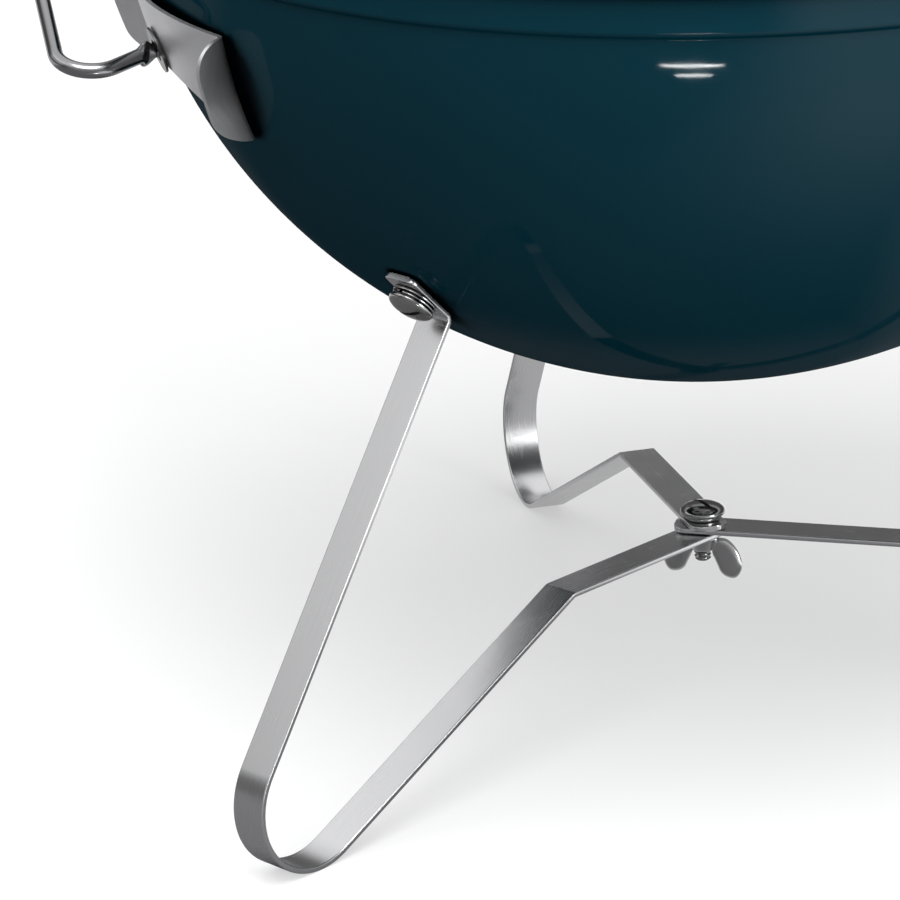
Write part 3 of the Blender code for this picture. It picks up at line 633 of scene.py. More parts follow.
def lid_height_at(r):
    return RIM_Z + LID_HEIGHT * sqrt(1 - (r / LID_RADIUS) ** 2)


def bulge(radius, depth, middle_z, end, steps):
    """Profile of a round bulge from its lowest point out to the end angle; a negative depth is a dome."""
    angles = [end * k / steps for k in range(steps + 1)]
    return [(radius * sin(a), middle_z - depth * cos(a)) for a in angles]


def round_arc(centre, radius, start, end, steps):
    """Points on a circle from one angle to another."""
    angles = [start + (end - start) * k / steps for k in range(steps + 1)]
    return [Vector((centre[0] + radius * cos(a), centre[1] + radius * sin(a))) for a in angles]


def vent_drills(low, high, place=Matrix(), first=0.0):
    """Cutting tools for a rivet's hole and the ring of vents around it, which starts at the first."""
    tools = [drill(RIVET_RADIUS + GAP, low, high, place)]
    for k in range(VENTS):
        hole = place @ turn_about_z(2 * pi * (k + first) / VENTS) @ move(VENT_CIRCLE, 0, 0)
        tools.append(drill(VENT_RADIUS, low, high, hole))
    return tools


def screw_drills(low, high):
    """Cutting tools for the two screws of the lid's handle."""
    return [drill(SCREW_SHANK + GAP, low, high, move(x, 0, 0)) for x in (-HANDLE_POST_X, HANDLE_POST_X)]


def bowl():
    """Kettle bowl with a creased band, a ledge inside it and a rolled rim."""
    step = acos((EQUATOR_Z - STEP_LOW_Z) / BOWL_SEMI_HEIGHT)
    outer = bulge(BOWL_RADIUS, BOWL_SEMI_HEIGHT, EQUATOR_Z, step, 80)
    inner = bulge(BOWL_RADIUS - SHEET, BOWL_SEMI_HEIGHT - SHEET, EQUATOR_Z, step, 80)
    band_top = RIM_Z - 2 * RIM_BEAD - 0.2 * MM
    crease_top = STEP_LOW_Z + CREASE_HEIGHT
    outside = [outer[-2], outer[-1], (BAND_RADIUS, crease_top), (BAND_RADIUS, band_top)]
    outside = bent_path(outside, [0.8 * MM, 2.2 * MM], 6)
    ledge = [inner[-1], (BAND_RADIUS - SHEET, STEP_HIGH_Z), (BAND_RADIUS - SHEET, RIM_Z - RIM_BEAD)]
    ledge = bent_path(ledge, 1.2 * MM, 5)
    bead = round_arc((BAND_RADIUS, RIM_Z - RIM_BEAD), RIM_BEAD, pi * 15 / 16, -pi * 5 / 16, 20)
    profile = inner + ledge[1:] + bead + outside[::-1][:-1] + outer[-2::-1]
    obj = piece("bowl_shell", lathe(profile, SHELL_STEPS))
    tools = vent_drills(100 * MM, 140 * MM, first=0.25)
    tools += [drill(HOLE, -12 * MM, 12 * MM, bolt_place(azimuth)) for azimuth, _ in LEGS.values()]
    combine(obj, tools, "DIFFERENCE")
    finish(obj, ENAMEL, "bowl_and_legs", "enamel", "bowl")


def bowl_damper_place():
    return move(0, 0, BOWL_BOTTOM) @ Matrix.Rotation(pi, 4, "X")


def lid_damper_place():
    z = lid_height_at(LID_DAMPER_REACH) + SHEET
    slope = Vector((0, -LID_DAMPER_REACH / LID_RADIUS**2, (z - RIM_Z) / LID_HEIGHT**2))
    return frame_from((0, -LID_DAMPER_REACH, z), slope, (1, 0, 0))


def lid():
    """Domed lid whose edge turns out over the bowl's rim and down into a skirt."""
    end = radians(84.5)
    outer = bulge(LID_RADIUS, -LID_HEIGHT, RIM_Z + SHEET, end, 70)
    inner = bulge(LID_RADIUS - SHEET, SHEET - LID_HEIGHT, RIM_Z + SHEET, end, 70)
    shoulder = RIM_Z + GAP
    inner = [(r, max(z, shoulder)) for r, z in inner]
    foot = SKIRT_LOW_Z + 0.6 * MM
    outside = [
        outer[-1], (SKIRT_INNER - 1.6 * MM, shoulder + SHEET + 1.4 * MM),
        (SKIRT_INNER + SHEET, shoulder + SHEET), (SKIRT_INNER + SHEET, foot),
    ]
    outside = bent_path(outside, [4 * MM, 1.6 * MM], 6)
    roll = round_arc((SKIRT_INNER + SHEET / 2, foot), SHEET / 2, 0, -pi, 8)[1:-1]
    inside = bent_path([(SKIRT_INNER, foot), (SKIRT_INNER, shoulder), inner[-1]], 0.6 * MM, 4)
    profile = outer[:-1] + outside + roll + inside[:-1] + inner[::-1]
    obj = piece("lid_shell", lathe(profile, SHELL_STEPS))
    tools = vent_drills(-10 * MM, 10 * MM, lid_damper_place()) + screw_drills(360 * MM, 400 * MM)
    combine(obj, tools, "DIFFERENCE")
    finish(obj, ENAMEL, "lid", "enamel", "lid")


def damper(name, dish, place, body, node):
    """A dished disc with three vents and a bent tab; local Z points away from the shell."""
    clearance = 0.45 * MM
    edge = DAMPER_SHEET / 2

    def drop(r):
        return clearance - (dish - sqrt(dish**2 - r**2))

    reach = DAMPER_RADIUS - edge
    radii = [reach * k / 24 for k in range(25)]
    top = [(r, drop(r) + DAMPER_SHEET) for r in radii]
    under = [(r, drop(r)) for r in radii]
    rim = round_arc((reach, drop(reach) + edge), edge, pi / 2, -pi / 2, 8)[1:-1]
    obj = piece(name, lathe(top + rim + under[::-1], 120), place)
    height = drop(DAMPER_RADIUS) + DAMPER_SHEET / 2
    path = [
        (DAMPER_RADIUS - 4 * MM, 0, height + 0.3 * MM),
        (DAMPER_RADIUS + 7 * MM, 0, height + 0.6 * MM),
        (DAMPER_RADIUS + 10 * MM, 0, height + 10 * MM),
    ]
    tab = mesh_of(strap(bent_path(path, 2 * MM), 12 * MM, DAMPER_SHEET, 0.3 * MM, 0, 3 * MM), "tab")
    combine(obj, [(tab, place @ turn_about_z(-pi / 2))], "UNION")
    combine(obj, vent_drills(-10 * MM, 10 * MM, place), "DIFFERENCE")
    finish(obj, ALUMINIUM, body, "aluminium", node)


def rivet(name, place, body, node, tail_at):
    """Domed head outside and a flat peened head inside."""
    radius, height = RIVET_HEAD
    head_at = 1.8 * MM
    profile = bulge(radius, -height, head_at, pi / 2, 10) + [
        (RIVET_RADIUS, head_at), (RIVET_RADIUS, tail_at), (4 * MM, tail_at),
        (3.9 * MM, tail_at - 0.9 * MM), (3.4 * MM, tail_at - 1.2 * MM), (0, tail_at - 1.2 * MM),
    ]
    obj = piece(name, lathe(profile, 48), place)
    finish(obj, ALUMINIUM, body, "aluminium", node)


# ---------------- legs and their hardware


def strap(path, width, thickness, edge, start_corner, end_corner):
    """Flat strap with eased edges and round corners at its ends. The path lies in the XZ plane."""
    path = spaced([Vector(point) for point in path], 4 * MM)
    path = ease_ends(path, start_corner, end_corner)
    total = [0.0]
    for a, b in zip(path, path[1:]):
        total.append(total[-1] + (b - a).length)
    outline = rounded_box(thickness, width, edge)

    def section(i):
        inset = corner_inset(total[i], start_corner) + corner_inset(total[-1] - total[i], end_corner)
        return [(s, h - inset * h / abs(h)) for s, h in outline]

    return sweep(path, Vector((0, 1, 0)), section)


def corner_inset(distance, corner):
    """How far a round corner pulls the strap's side in, this far from its end."""
    if distance >= corner or corner == 0:
        return 0.0
    return corner - sqrt(max(corner**2 - (corner - distance) ** 2, 0))


def ease_ends(path, start_corner, end_corner):
    """Adds path points inside the end corners, closest at the very end."""
    for corner in (start_corner, end_corner):
        if corner:
            first = path[0]
            way = (path[1] - first).normalized()
            rest = [p for p in path[1:] if (p - first).length > corner * 1.05]
            steps = [corner * (1 - cos(pi / 2 * k / 8)) for k in range(1, 9)]
            path = [first] + [first + way * step for step in steps] + rest
        path = path[::-1]
    return path


def bolt_place(azimuth):
    """Frame on the bowl's surface at a leg bolt: local Z outwards, local X up the slope."""
    n = bowl_normal_at(BOLT_Z)
    local = frame_from((bowl_radius_at(BOLT_Z), 0, BOLT_Z), (n[0], 0, n[1]), (-n[1], 0, n[0]))
    return turn_about_z(radians(azimuth)) @ local


def tangent_angle(point, centre, radius, side):
    """Angle at which a line from the point touches the circle, on the given side."""
    dx, dz = point[0] - centre[0], point[1] - centre[1]
    return atan2(dz, dx) + side * acos(radius / hypot(dx, dz))


def leg_path(layer):
    """The strap's middle line: tab on the bowl, round foot, knee, and the end in the hub's stack."""
    n = bowl_normal_at(BOLT_Z)
    up = Vector((-n[1], n[0]))
    on_tab = Vector((bowl_radius_at(BOLT_Z), BOLT_Z)) + n * (GAP + STRAP / 2)
    tab_end = on_tab + up * TAB_ABOVE_BOLT
    bend = on_tab - up * TAB_BELOW_BOLT
    radius = FOOT_RADIUS - STRAP / 2
    knee = Vector((KNEE_RADIUS, FIRST_STRAP_TOP - STRAP / 2 + layer * STACK_PITCH))
    centre = (FOOT_CENTRE, FOOT_RADIUS)
    first = tangent_angle(bend, centre, radius, -1)
    last = tangent_angle(knee, centre, radius, 1) - 2 * pi
    foot = round_arc(centre, radius, first, last, 72)
    upper = bent_path([tab_end, bend, foot[0]], BEND_RADIUS)
    lower = bent_path([foot[-1], knee, Vector((-HUB_OVERRUN, knee[1]))], BEND_RADIUS)
    return [Vector((p[0], 0, p[1])) for p in upper[:-1] + foot + lower[1:]]


def leg(label, azimuth, layer):
    """Flat strap, drilled for its bolt on the bowl and for the hub's bolt."""
    bm = strap(leg_path(layer), STRAP_WIDTH, STRAP, STRAP_EDGE, 2.2 * MM, 4.5 * MM)
    obj = piece(f"leg_strap_{label}", bm, turn_about_z(radians(azimuth)))
    tools = [drill(HOLE, -2 * MM, 8 * MM, bolt_place(azimuth)), drill(HOLE, 40 * MM, 70 * MM)]
    combine(obj, tools, "DIFFERENCE")
    finish(obj, STEEL, "bowl_and_legs", "plated_steel", f"leg_{label}")


def thread(low, high):
    """Profile rings of a coarse helical thread from the bottom up, with a chamfered end."""
    rings = []
    count = int((high - low) / (THREAD_PITCH / 7))
    for k in range(count + 1):
        z = low + (high - low) * k / count

        def radius(a, z=z):
            phase = (z / THREAD_PITCH - a / (2 * pi)) % 1
            ridge = THREAD_RADIUS - THREAD_DEPTH * min(1, 1.25 * abs(2 * phase - 1))
            return min(ridge, THREAD_RADIUS - 0.8 * MM + (z - low))

        rings.append((radius, z))
    return rings


def truss_bolt(name, shank_low, head_low, place, node):
    """Slotted domed head above a threaded shank."""
    profile = bulge(HEAD_RADIUS, HEAD_EDGE - HEAD_HEIGHT, head_low + HEAD_EDGE, pi / 2, 16)
    profile += [
        (HEAD_RADIUS, head_low + 0.35 * MM), (HEAD_RADIUS - 0.12 * MM, head_low + 0.1 * MM),
        (HEAD_RADIUS - 0.4 * MM, head_low), (THREAD_RADIUS, head_low),
    ]
    profile += thread(shank_low, head_low - 0.6 * MM)[::-1] + [(0, shank_low)]
    obj = piece(name, lathe(profile, 72), place, 40)
    top = place @ move(0, 0, head_low + HEAD_HEIGHT) @ turn_about_z(SLOT_TURN)
    combine(obj, [block(4 * HEAD_RADIUS, SLOT_WIDTH, 2 * SLOT_DEPTH, top)], "DIFFERENCE", 40)
    finish(obj, HARDWARE, "bowl_and_legs", "plated_steel", node)


def flat_washer(name, size, hole, place, node, look=HARDWARE):
    outer, thick = size
    middle = (outer + hole) / 2
    profile = [(middle + s, thick / 2 + h) for s, h in rounded_box(outer - hole, thick, 0.18 * MM, 2)]
    obj = piece(name, lathe(profile, 72, True), place)
    finish(obj, look, "bowl_and_legs", "plated_steel", node)


def lock_washer(name, size, place, node):
    """Split spring washer, nearly closed, its ends a little out of line."""
    outer, thick = size
    middle = (outer + HOLE) / 2
    split = radians(5)
    rise = 0.12 * MM
    ring = round_arc((0, 0), middle, split, 2 * pi - split, 72)
    points = [Vector((x, y, thick / 2 + rise * (k / 72 - 0.5))) for k, (x, y) in enumerate(ring)]
    outline = rounded_box(outer - HOLE, thick - rise, 0.12 * MM, 2)
    obj = piece(name, sweep(points, UP, outline), place)
    finish(obj, HARDWARE, "bowl_and_legs", "plated_steel", node)


def hex_nut(name, place, node):
    """Hexagon nut with chamfered corners top and bottom."""

    def hexagon(depth):
        def radius(a):
            flat = NUT_APOTHEM / cos((a % (pi / 3)) - pi / 6)
            return min(flat, 0.96 * NUT_APOTHEM + 1.6 * depth)

        return radius

    depths = [0, 0.2 * MM, 0.4 * MM, 0.6 * MM, 0.8 * MM]
    profile = [(hexagon(d), d) for d in depths] + [(hexagon(d), NUT_HEIGHT - d) for d in depths[::-1]]
    bore = HOLE - 0.1 * MM
    ease = 0.5 * MM
    profile += [(bore + ease, NUT_HEIGHT), (bore, NUT_HEIGHT - ease), (bore, ease), (bore + ease, 0)]
    obj = piece(name, lathe(profile, 96, True), place, 25)
    finish(obj, HARDWARE, "bowl_and_legs", "plated_steel", node)


def leg_fasteners(label, azimuth):
    """Washers and head outside the strap, nut inside the bowl."""
    surface = bolt_place(azimuth)
    z = GAP + STRAP + GAP
    place = surface @ move(0, 0, z)
    flat_washer(f"flat_washer_{label}", FLAT_WASHER, HOLE, place, f"leg_flat_washer_{label}")
    z += FLAT_WASHER[1] + GAP
    place = surface @ move(0, 0, z)
    lock_washer(f"spring_washer_{label}", LEG_LOCK_WASHER, place, f"leg_lock_washer_{label}")
    z += LEG_LOCK_WASHER[1] + GAP
    nut_low = -SHEET - GAP - 0.7 * MM - NUT_HEIGHT
    truss_bolt(f"truss_bolt_{label}", nut_low - 2 * MM, z, surface, f"leg_bolt_{label}")
    hex_nut(f"hex_nut_{label}", surface @ move(0, 0, nut_low), f"leg_nut_{label}")


def hub():
    """The bolt that clamps the three strap ends, with its washer above and its wing nut below."""
    z = FIRST_STRAP_TOP + 2 * STACK_PITCH + GAP
    lock_washer("spring_washer_hub", HUB_LOCK_WASHER, move(0, 0, z), "hub_lock_washer")
    z += HUB_LOCK_WASHER[1] + GAP
    truss_bolt("truss_bolt_hub", 45.5 * MM, z, Matrix(), "hub_bolt")
    cast_wing_nut(FIRST_STRAP_TOP - STRAP - GAP)


def wing_outline():
    """One wing of the wing nut, out from its axis and down from its top, as a smooth closed curve."""
    corners = [
        (3.0, -1.2), (5.5, -0.3), (8.8, -0.6), (12.0, -3.7), (13.8, -8.0), (13.3, -11.5),
        (11.5, -13.7), (8.8, -13.7), (6.6, -12.4), (5.3, -10.0), (3.5, -5.8),
    ]
    smooth = []
    count = len(corners)
    for k in range(count):
        before, here = Vector(corners[k - 1]), Vector(corners[k])
        after, later = Vector(corners[(k + 1) % count]), Vector(corners[(k + 2) % count])
        slope = after - before
        bend = 2 * before - 5 * here + 4 * after - later
        twist = 3 * here - before - 3 * after + later
        for m in range(4):
            t = m / 4
            smooth.append(0.5 * (2 * here + slope * t + bend * t**2 + twist * t**3) * MM)
    return smooth


def wing_layers(top):
    """Sections through a wing's thickness, pulled in towards both faces."""
    outline = wing_outline()
    middle = sum(outline, Vector((0, 0))) / len(outline)
    layers = []
    for k in range(9):
        a = pi * k / 8
        inset = WING_EDGE_INSET * (1 - sin(a)) ** 1.2
        y = -WING_THICKNESS / 2 * cos(a)
        ring = []
        for point in outline:
            pulled = point + (middle - point).normalized() * inset
            ring.append(Vector((pulled[0], y, top + pulled[1])))
        layers.append(ring)
    return layers


def cast_wing_nut(top):
    """Boss and two wings melted into one soft casting, then bored."""
    low = top - WING_NUT_HEIGHT
    boss = [(0, top), (5.0 * MM, top), (5.2 * MM, top - 0.3 * MM), (4.1 * MM, low), (0, low)]
    obj = piece("wing_nut_casting", lathe(boss, 48), turn_about_z(WING_NUT_TURN))
    wing = mesh_of(skin(wing_layers(top), caps=True), "wing")
    combine(obj, [(wing, turn_about_z(side + WING_NUT_TURN)) for side in (0, pi)], "UNION")
    melt = obj.modifiers.new("melt", "REMESH")
    melt.mode = "VOXEL"
    melt.voxel_size = CASTING_VOXEL
    soften = obj.modifiers.new("soften", "SMOOTH")
    soften.factor = 0.5
    soften.iterations = 6
    settle(obj, 60)
    combine(obj, [drill(THREAD_RADIUS + 0.35 * MM, top - 20 * MM, top + 5 * MM)], "DIFFERENCE", 60)
    finish(obj, CAST, "wing_nut", "plated_steel", "wing_nut")


# ---------------- bracket and bail


def bracket_half_angle(z):
    share = (z - BRACKET_END_Z) / (BRACKET_TOP_Z - BRACKET_END_Z)
    return BRACKET_HALF_ANGLE + BRACKET_TOP_SPREAD * share


def web_point(share, level):
    """Point on the web: the share runs from bend line to bend line, the level from low to high."""
    bump = max(cos(pi / 2 * share), 0)
    low = BRACKET_END_Z + (BRACKET_MID_Z - BRACKET_END_Z) * bump**1.3
    z = low + (BRACKET_TOP_Z - low) * level
    radius = bowl_radius_at(z) + BRACKET_CONTACT + BRACKET_BULGE * bump
    angle = bracket_half_angle(z) * share
    return Vector((radius * cos(angle), radius * sin(angle), z))


def wing_point(end, share, level):
    """Point on the wing at one end: the share runs from the bend line to the wing's tip."""
    rounded = 1 - sqrt(1 - share**2)
    low = BRACKET_END_Z + WING_LOW_RISE * rounded
    high = BRACKET_TOP_Z - WING_TOP_DROP * rounded
    z = low + (high - low) * level
    radius = bowl_radius_at(z) + BRACKET_CONTACT
    angle = end * bracket_half_angle(z)
    out = angle + end * WING_FLARE
    reach = WING_WIDTH * share
    return Vector((radius * cos(angle) + reach * cos(out), radius * sin(angle) + reach * sin(out), z))


def bracket_row(level):
    """One horizontal section, wing tip to wing tip, with rounded bend lines."""
    web_edge, wing_edge = 0.95, 0.13
    tips = [sin(pi / 2 * k / 12) for k in range(12, 0, -1)]
    tips = [share for share in tips if share > wing_edge * 1.2]
    row = [wing_point(-1, share, level) for share in tips]
    for end in (-1, 1):
        a, corner = wing_point(end, wing_edge, level), web_point(end, level)
        b = web_point(end * web_edge, level)
        bend = [a.lerp(corner, t).lerp(corner.lerp(b, t), t) for t in (0, 0.2, 0.4, 0.6, 0.8, 1)]
        if end < 0:
            row += bend
            row += [web_point(web_edge * (2 * k / 36 - 1), level) for k in range(1, 36)]
        else:
            row += bend[::-1]
    return row + [wing_point(1, share, level) for share in tips[::-1]]


def bracket(label, side):
    """Sheet-metal channel: a web that bulges off the bowl between two rounded, flared wings."""
    facing = turn_about_z(pi if side < 0 else 0)
    levels = [0.5 - 0.5 * cos(pi * k / 24) for k in range(25)]
    rows = [[facing @ point for point in bracket_row(level)] for level in levels]
    obj = piece(f"bracket_channel_{label}", skin(rows, wrap=False))
    solid = obj.modifiers.new("thickness", "SOLIDIFY")
    solid.thickness = BRACKET_SHEET
    solid.offset = 0
    solid.use_even_offset = True
    eased = obj.modifiers.new("edges", "BEVEL")
    eased.width = 0.3 * MM
    eased.segments = 3
    eased.limit_method = "ANGLE"
    eased.angle_limit = radians(50)
    settle(obj, 40)
    place = move(side * PIVOT_X, 0, PIVOT_Z) @ Matrix.Rotation(side * pi / 2, 4, "Y")
    combine(obj, [drill(PIVOT_HOLE, -6 * MM, 6 * MM, place)], "DIFFERENCE", 40)
    finish(obj, SHEET_STEEL, "bowl_and_legs", "plated_steel", f"bracket_{label}")
    slope = bowl_normal_at(PIVOT_Z)
    half = PIVOT_WASHER[1] / 2
    x = PIVOT_X + (BRACKET_SHEET / 2 + 0.35 * MM + half) / slope[0]
    flat = frame_from((side * x, 0, PIVOT_Z), (side * slope[0], 0, slope[1]), (0, 1, 0))
    flat = flat @ move(0, 0, -half)
    hole = PIVOT_HOLE + 0.3 * MM
    # The washer is near black: painted shade for the dark its edge reflects.
    flat_washer(f"wire_washer_{label}", PIVOT_WASHER, hole, flat, f"pivot_washer_{label}", WASHER_PAINTED_SHADE)


def bail():
    """One bent wire with a crimped ear outside each bracket."""
    up = Vector((0, sin(BAIL_REST), cos(BAIL_REST)))
    side = Vector((1, 0, 0))
    axes = Matrix((side, up, side.cross(up))).transposed().to_4x4()
    place = move(0, 0, PIVOT_Z) @ axes
    stub = Vector((cos(STUB_TILT), -sin(STUB_TILT)))
    arm = Vector((-sin(ARM_LEAN), cos(ARM_LEAN)))
    kink = Vector((KINK_X, 0))
    gap = Vector((ARM_X, 0)) - kink
    elbow = kink + stub * (gap.x * arm.y - gap.y * arm.x) / (stub.x * arm.y - stub.y * arm.x)
    shoulder = Vector((ARM_X, 0)) + arm * (BAIL_BAR / arm.y)
    corners = [Vector((PIVOT_X - 0.9 * MM, 0)), kink, elbow, shoulder, Vector((0, BAIL_BAR))]
    half = bent_path(corners, [2.6 * MM, LOWER_BEND, UPPER_BEND], 14)
    half = spaced([Vector((p[0], p[1], 0)) for p in half], 1.0 * MM)
    path = half + [Vector((-p.x, p.y, 0)) for p in reversed(half[:-1])]
    ears = [Vector((s * (KINK_X + EAR_AT * stub.x), EAR_AT * stub.y, 0)) for s in (-1, 1)]

    def section(i):
        near = min((path[i] - ear).length for ear in ears)
        pinch = max(0.0, 1 - (near / (2.0 * MM)) ** 2)
        return ellipse(BAIL_WIRE - EAR_PINCH * pinch, BAIL_WIRE + EAR_REACH * pinch**0.5, 28)

    obj = piece("bail_wire", sweep(path, UP, section), place)
    finish(obj, CHROME, "bail", "chromed_wire", "bail")


# ---------------- grates, handle and shield


def join(parts, name):
    """One mesh from several bmeshes that hold the same UV layer."""
    whole = bmesh.new()
    for part in parts:
        mesh = mesh_of(part, "part")
        whole.from_mesh(mesh)
        bpy.data.meshes.remove(mesh)
    return mesh_of(whole, name)


def grate(name, size, body, node):
    """A ring with parallel bars on it and two cross bars under the bars, all round wire."""
    radius, z, pitch, cross = size
    ring = [Vector((x, y, z)) for x, y in circle(radius, 160)]
    parts = [sweep(ring, UP, circle(WIRE), loop=True)]
    count = int(radius / pitch)
    for k in range(-count, count + 1):
        x = k * pitch
        reach = sqrt(max(radius**2 - x**2, 0)) + 0.2 * WIRE
        if reach < 3 * pitch:
            continue
        height = z + 1.4 * WIRE
        ends = [Vector((x, -reach, height)), Vector((x, reach, height))]
        parts.append(sweep(ends, UP, circle(0.9 * WIRE, 16)))
    for y in (-cross, cross):
        reach = sqrt(radius**2 - y**2) + 0.2 * WIRE
        parts.append(sweep([Vector((-reach, y, z)), Vector((reach, y, z))], UP, circle(0.95 * WIRE, 16)))
    obj = new_object(name, join(parts, name))
    finish(obj, GRATE, body, "grate_steel", node)


def shield_height_at(x):
    """The shield follows the lid and lifts off it near its ends."""
    flare = max(abs(x) - 50 * MM, 0)
    return lid_height_at(abs(x)) + SHEET + SHIELD_SHEET / 2 + 0.5 * MM + 0.6 * flare


def heat_shield():
    """Thin plate with round corners between the lid and the handle's posts."""
    path = []
    for k in range(65):
        x = SHIELD_HALF_LENGTH * (k / 32 - 1)
        path.append(Vector((x, 0, shield_height_at(x))))
    bm = strap(path, 2 * SHIELD_HALF_WIDTH, SHIELD_SHEET, 0.3 * MM, 8 * MM, 8 * MM)
    obj = piece("heat_shield_plate", bm)
    combine(obj, screw_drills(370 * MM, 400 * MM), "DIFFERENCE")
    finish(obj, SHEET_STEEL, "lid", "plated_steel", "lid_heat_shield")


def lid_handle():
    """Nylon grip with waisted posts on small flanges, and the screws that hold it."""
    post_low = shield_height_at(HANDLE_POST_X - 8 * MM) + SHIELD_SHEET / 2 + 0.5 * MM
    grip_z = HANDLE_TOP_Z - GRIP_RADIUS
    corners = [(HANDLE_POST_X, post_low), (HANDLE_POST_X, grip_z), (0, grip_z)]
    half = bent_path(corners, 14 * MM, 14)
    half = spaced([Vector((p[0], 0, p[1])) for p in half], 1.2 * MM)
    path = half + [Vector((-p.x, 0, p.z)) for p in reversed(half[:-1])]

    def section(i):
        height = path[i].z - post_low
        flange = 1.6 * MM * max(0.0, 1 - (height / (3.5 * MM)) ** 2)
        waist = 0.9 * MM * max(0.0, sin(pi * min(height / (grip_z - post_low - 4 * MM), 1)))
        swell = 1.2 * MM * cos(path[i].x / HANDLE_POST_X * pi / 2)
        if height < grip_z - post_low - MM:
            swell = 0.0
        r = GRIP_RADIUS + flange - waist
        return ellipse(0.94 * r, r + swell, 40)

    obj = piece("lid_grip", sweep(path, Vector((0, 1, 0)), section), crease=50)
    hole_top = post_low + 13 * MM
    combine(obj, screw_drills(380 * MM, hole_top), "DIFFERENCE", 50)
    finish(obj, NYLON, "lid", "nylon", "lid_handle")
    for side, label in ((-1, "left"), (1, "right")):
        grip_screw(label, move(side * HANDLE_POST_X, 0, 0), hole_top - 2 * MM)


def grip_screw(label, place, tip):
    """Slotted screw up through the lid, its round head inside."""
    seat = lid_height_at(HANDLE_POST_X - 8 * MM) - 3.6 * MM
    face = seat - 2.2 * MM
    profile = [
        (0, tip), (SCREW_SHANK - 0.4 * MM, tip), (SCREW_SHANK, tip - 0.6 * MM), (SCREW_SHANK, seat),
        (4.6 * MM, seat), (4.6 * MM, seat - 0.6 * MM), (4.2 * MM, seat - 1.7 * MM),
        (3.2 * MM, face), (0, face),
    ]
    obj = piece(f"grip_screw_{label}", lathe(profile, 40), place)
    slot = block(12 * MM, 1.2 * MM, 2 * MM, place @ move(0, 0, face))
    combine(obj, [slot], "DIFFERENCE")
    finish(obj, HARDWARE, "lid", "plated_steel", f"lid_handle_screw_{label}")


# ---------------- stage, light and camera

# Brightness around the pieces, and the heights and depths of view over which it changes.
CEILING_LIGHT = 1.15
FRONT_WALL_LIGHT = 0.42
BACK_WALL_LIGHT = 0.12
CEILING_EDGE = (0.42, 0.72)
WALLS_EDGE = (-0.7, 0.1)

# Slim lamps low in front draw the bright streaks on the bowl: name, place, length, width, power.
STREAK_ALONG = Vector((0.945, -0.33, 0))
STREAK_LAMPS = (
    ("streak_upper", (-0.187, -0.513, 0.004), 0.110, 0.009, 0.26),
    ("streak_lower", (-0.173, -0.484, 0.004), 0.060, 0.008, 0.10),
)


def floor():
    """Plain floor just under the feet."""
    bm = bmesh.new()
    bmesh.ops.create_grid(bm, x_segments=2, y_segments=2, size=9)
    obj = piece("studio_floor", bm, move(0, 0, -0.05 * MM))
    obj.data.materials.append(floor_paint())


def soft_light(name, place, aim, width, height, power, along=None):
    """Area light that the camera doesn't see. Its width runs along the given direction."""
    light = bpy.data.lights.new(name, "AREA")
    light.shape = "RECTANGLE"
    light.size = width
    light.size_y = height
    light.energy = power
    way = Vector(aim) - Vector(place)
    obj = new_object(name, light, frame_from(place, -way, along or way.cross(UP)))
    obj.visible_camera = False
    return light


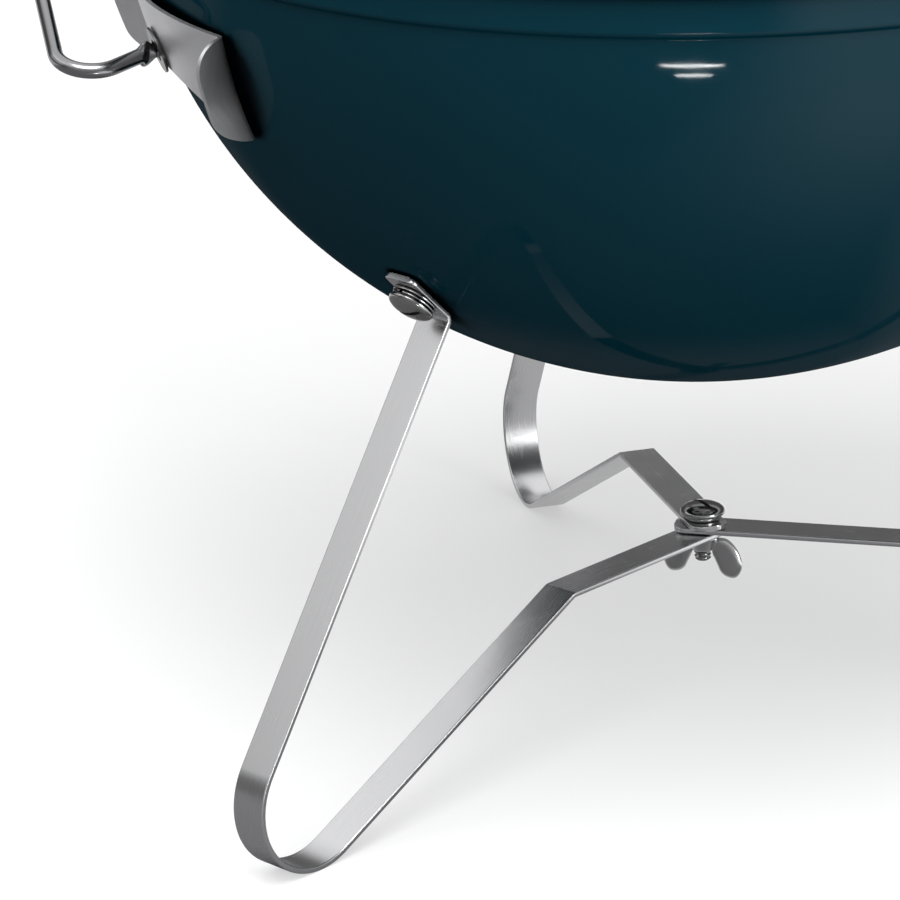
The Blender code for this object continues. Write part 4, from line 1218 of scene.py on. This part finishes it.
def world():
    """White to the camera. To the pieces: a bright ceiling, a dimmer front wall and a dark back wall."""
    look = Look("studio", "worlds")
    way = look.add("ShaderNodeTexCoord").outputs["Generated"]
    side = look.add("ShaderNodeSeparateXYZ", Vector=way).outputs
    walls = look.ramp(side["Y"], WALLS_EDGE, FRONT_WALL_LIGHT, BACK_WALL_LIGHT)
    room = look.ramp(side["Z"], CEILING_EDGE, walls, CEILING_LIGHT)
    seen = look.add("ShaderNodeLightPath").outputs["Is Camera Ray"]
    sky = look.tree.nodes["Background"].inputs
    look.put(sky["Color"], (1, 1, 1, 1))
    look.put(sky["Strength"], look.ramp(seen, (0, 1), room, 1.0))
    bpy.context.scene.world = look.material
    bpy.context.scene.view_settings.view_transform = "Standard"


def lights():
    soft_light("key", (-0.5, -0.9, 2.4), (0, 0, 0), 1.6, 1.6, 40)
    soft_light("left_softbox", (-1.05, 0.35, 0.83), (-0.1, 0, 0.35), 0.9, 0.8, 1.3)
    soft_light("front_fill", (1.2, -2.0, 0.55), (0, 0, 0.2), 0.8, 0.8, 22)
    for name, place, length, width, power in STREAK_LAMPS:
        lamp = soft_light(name, place, (place[0], place[1], 1), length, width, power, STREAK_ALONG)
        lamp.shape = "ELLIPSE"


def camera():
    right = CAMERA_FORWARD.cross(UP).normalized()
    up = right.cross(CAMERA_FORWARD)
    rolled = right * cos(CAMERA_ROLL) + up * sin(CAMERA_ROLL)
    upright = up * cos(CAMERA_ROLL) - right * sin(CAMERA_ROLL)
    axes = Matrix((rolled, upright, -CAMERA_FORWARD)).transposed().to_4x4()
    made = bpy.data.cameras.new("camera")
    made.lens = CAMERA_LENS
    made.sensor_width = 36
    made.clip_end = 100
    place = Matrix.Translation(CAMERA_PLACE) @ axes
    bpy.context.scene.camera = new_object("camera", made, place)


bowl()
lid()
for leg_label, (leg_azimuth, leg_layer) in LEGS.items():
    leg(leg_label, leg_azimuth, leg_layer)
    leg_fasteners(leg_label, leg_azimuth)
hub()
bracket("left", -1)
bracket("right", 1)
bail()
grate("cooking_grate_wire", COOKING_GRATE, "cooking_grate", "cooking_grate")
grate("charcoal_grate_wire", CHARCOAL_GRATE, "charcoal_grate", "charcoal_grate")
damper("bowl_damper_disc", BOWL_DAMPER_DISH, bowl_damper_place(), "bowl_damper", "bowl_damper")
rivet("bowl_rivet", bowl_damper_place(), "bowl_and_legs", "bowl_damper_rivet", -SHEET - GAP)
damper("lid_damper_disc", LID_DAMPER_DISH, lid_damper_place(), "lid_damper", "lid_damper")
rivet("lid_rivet", lid_damper_place(), "lid", "lid_damper_rivet", -SHEET - 1.6 * MM)
heat_shield()
lid_handle()

floor()
world()
lights()
camera()
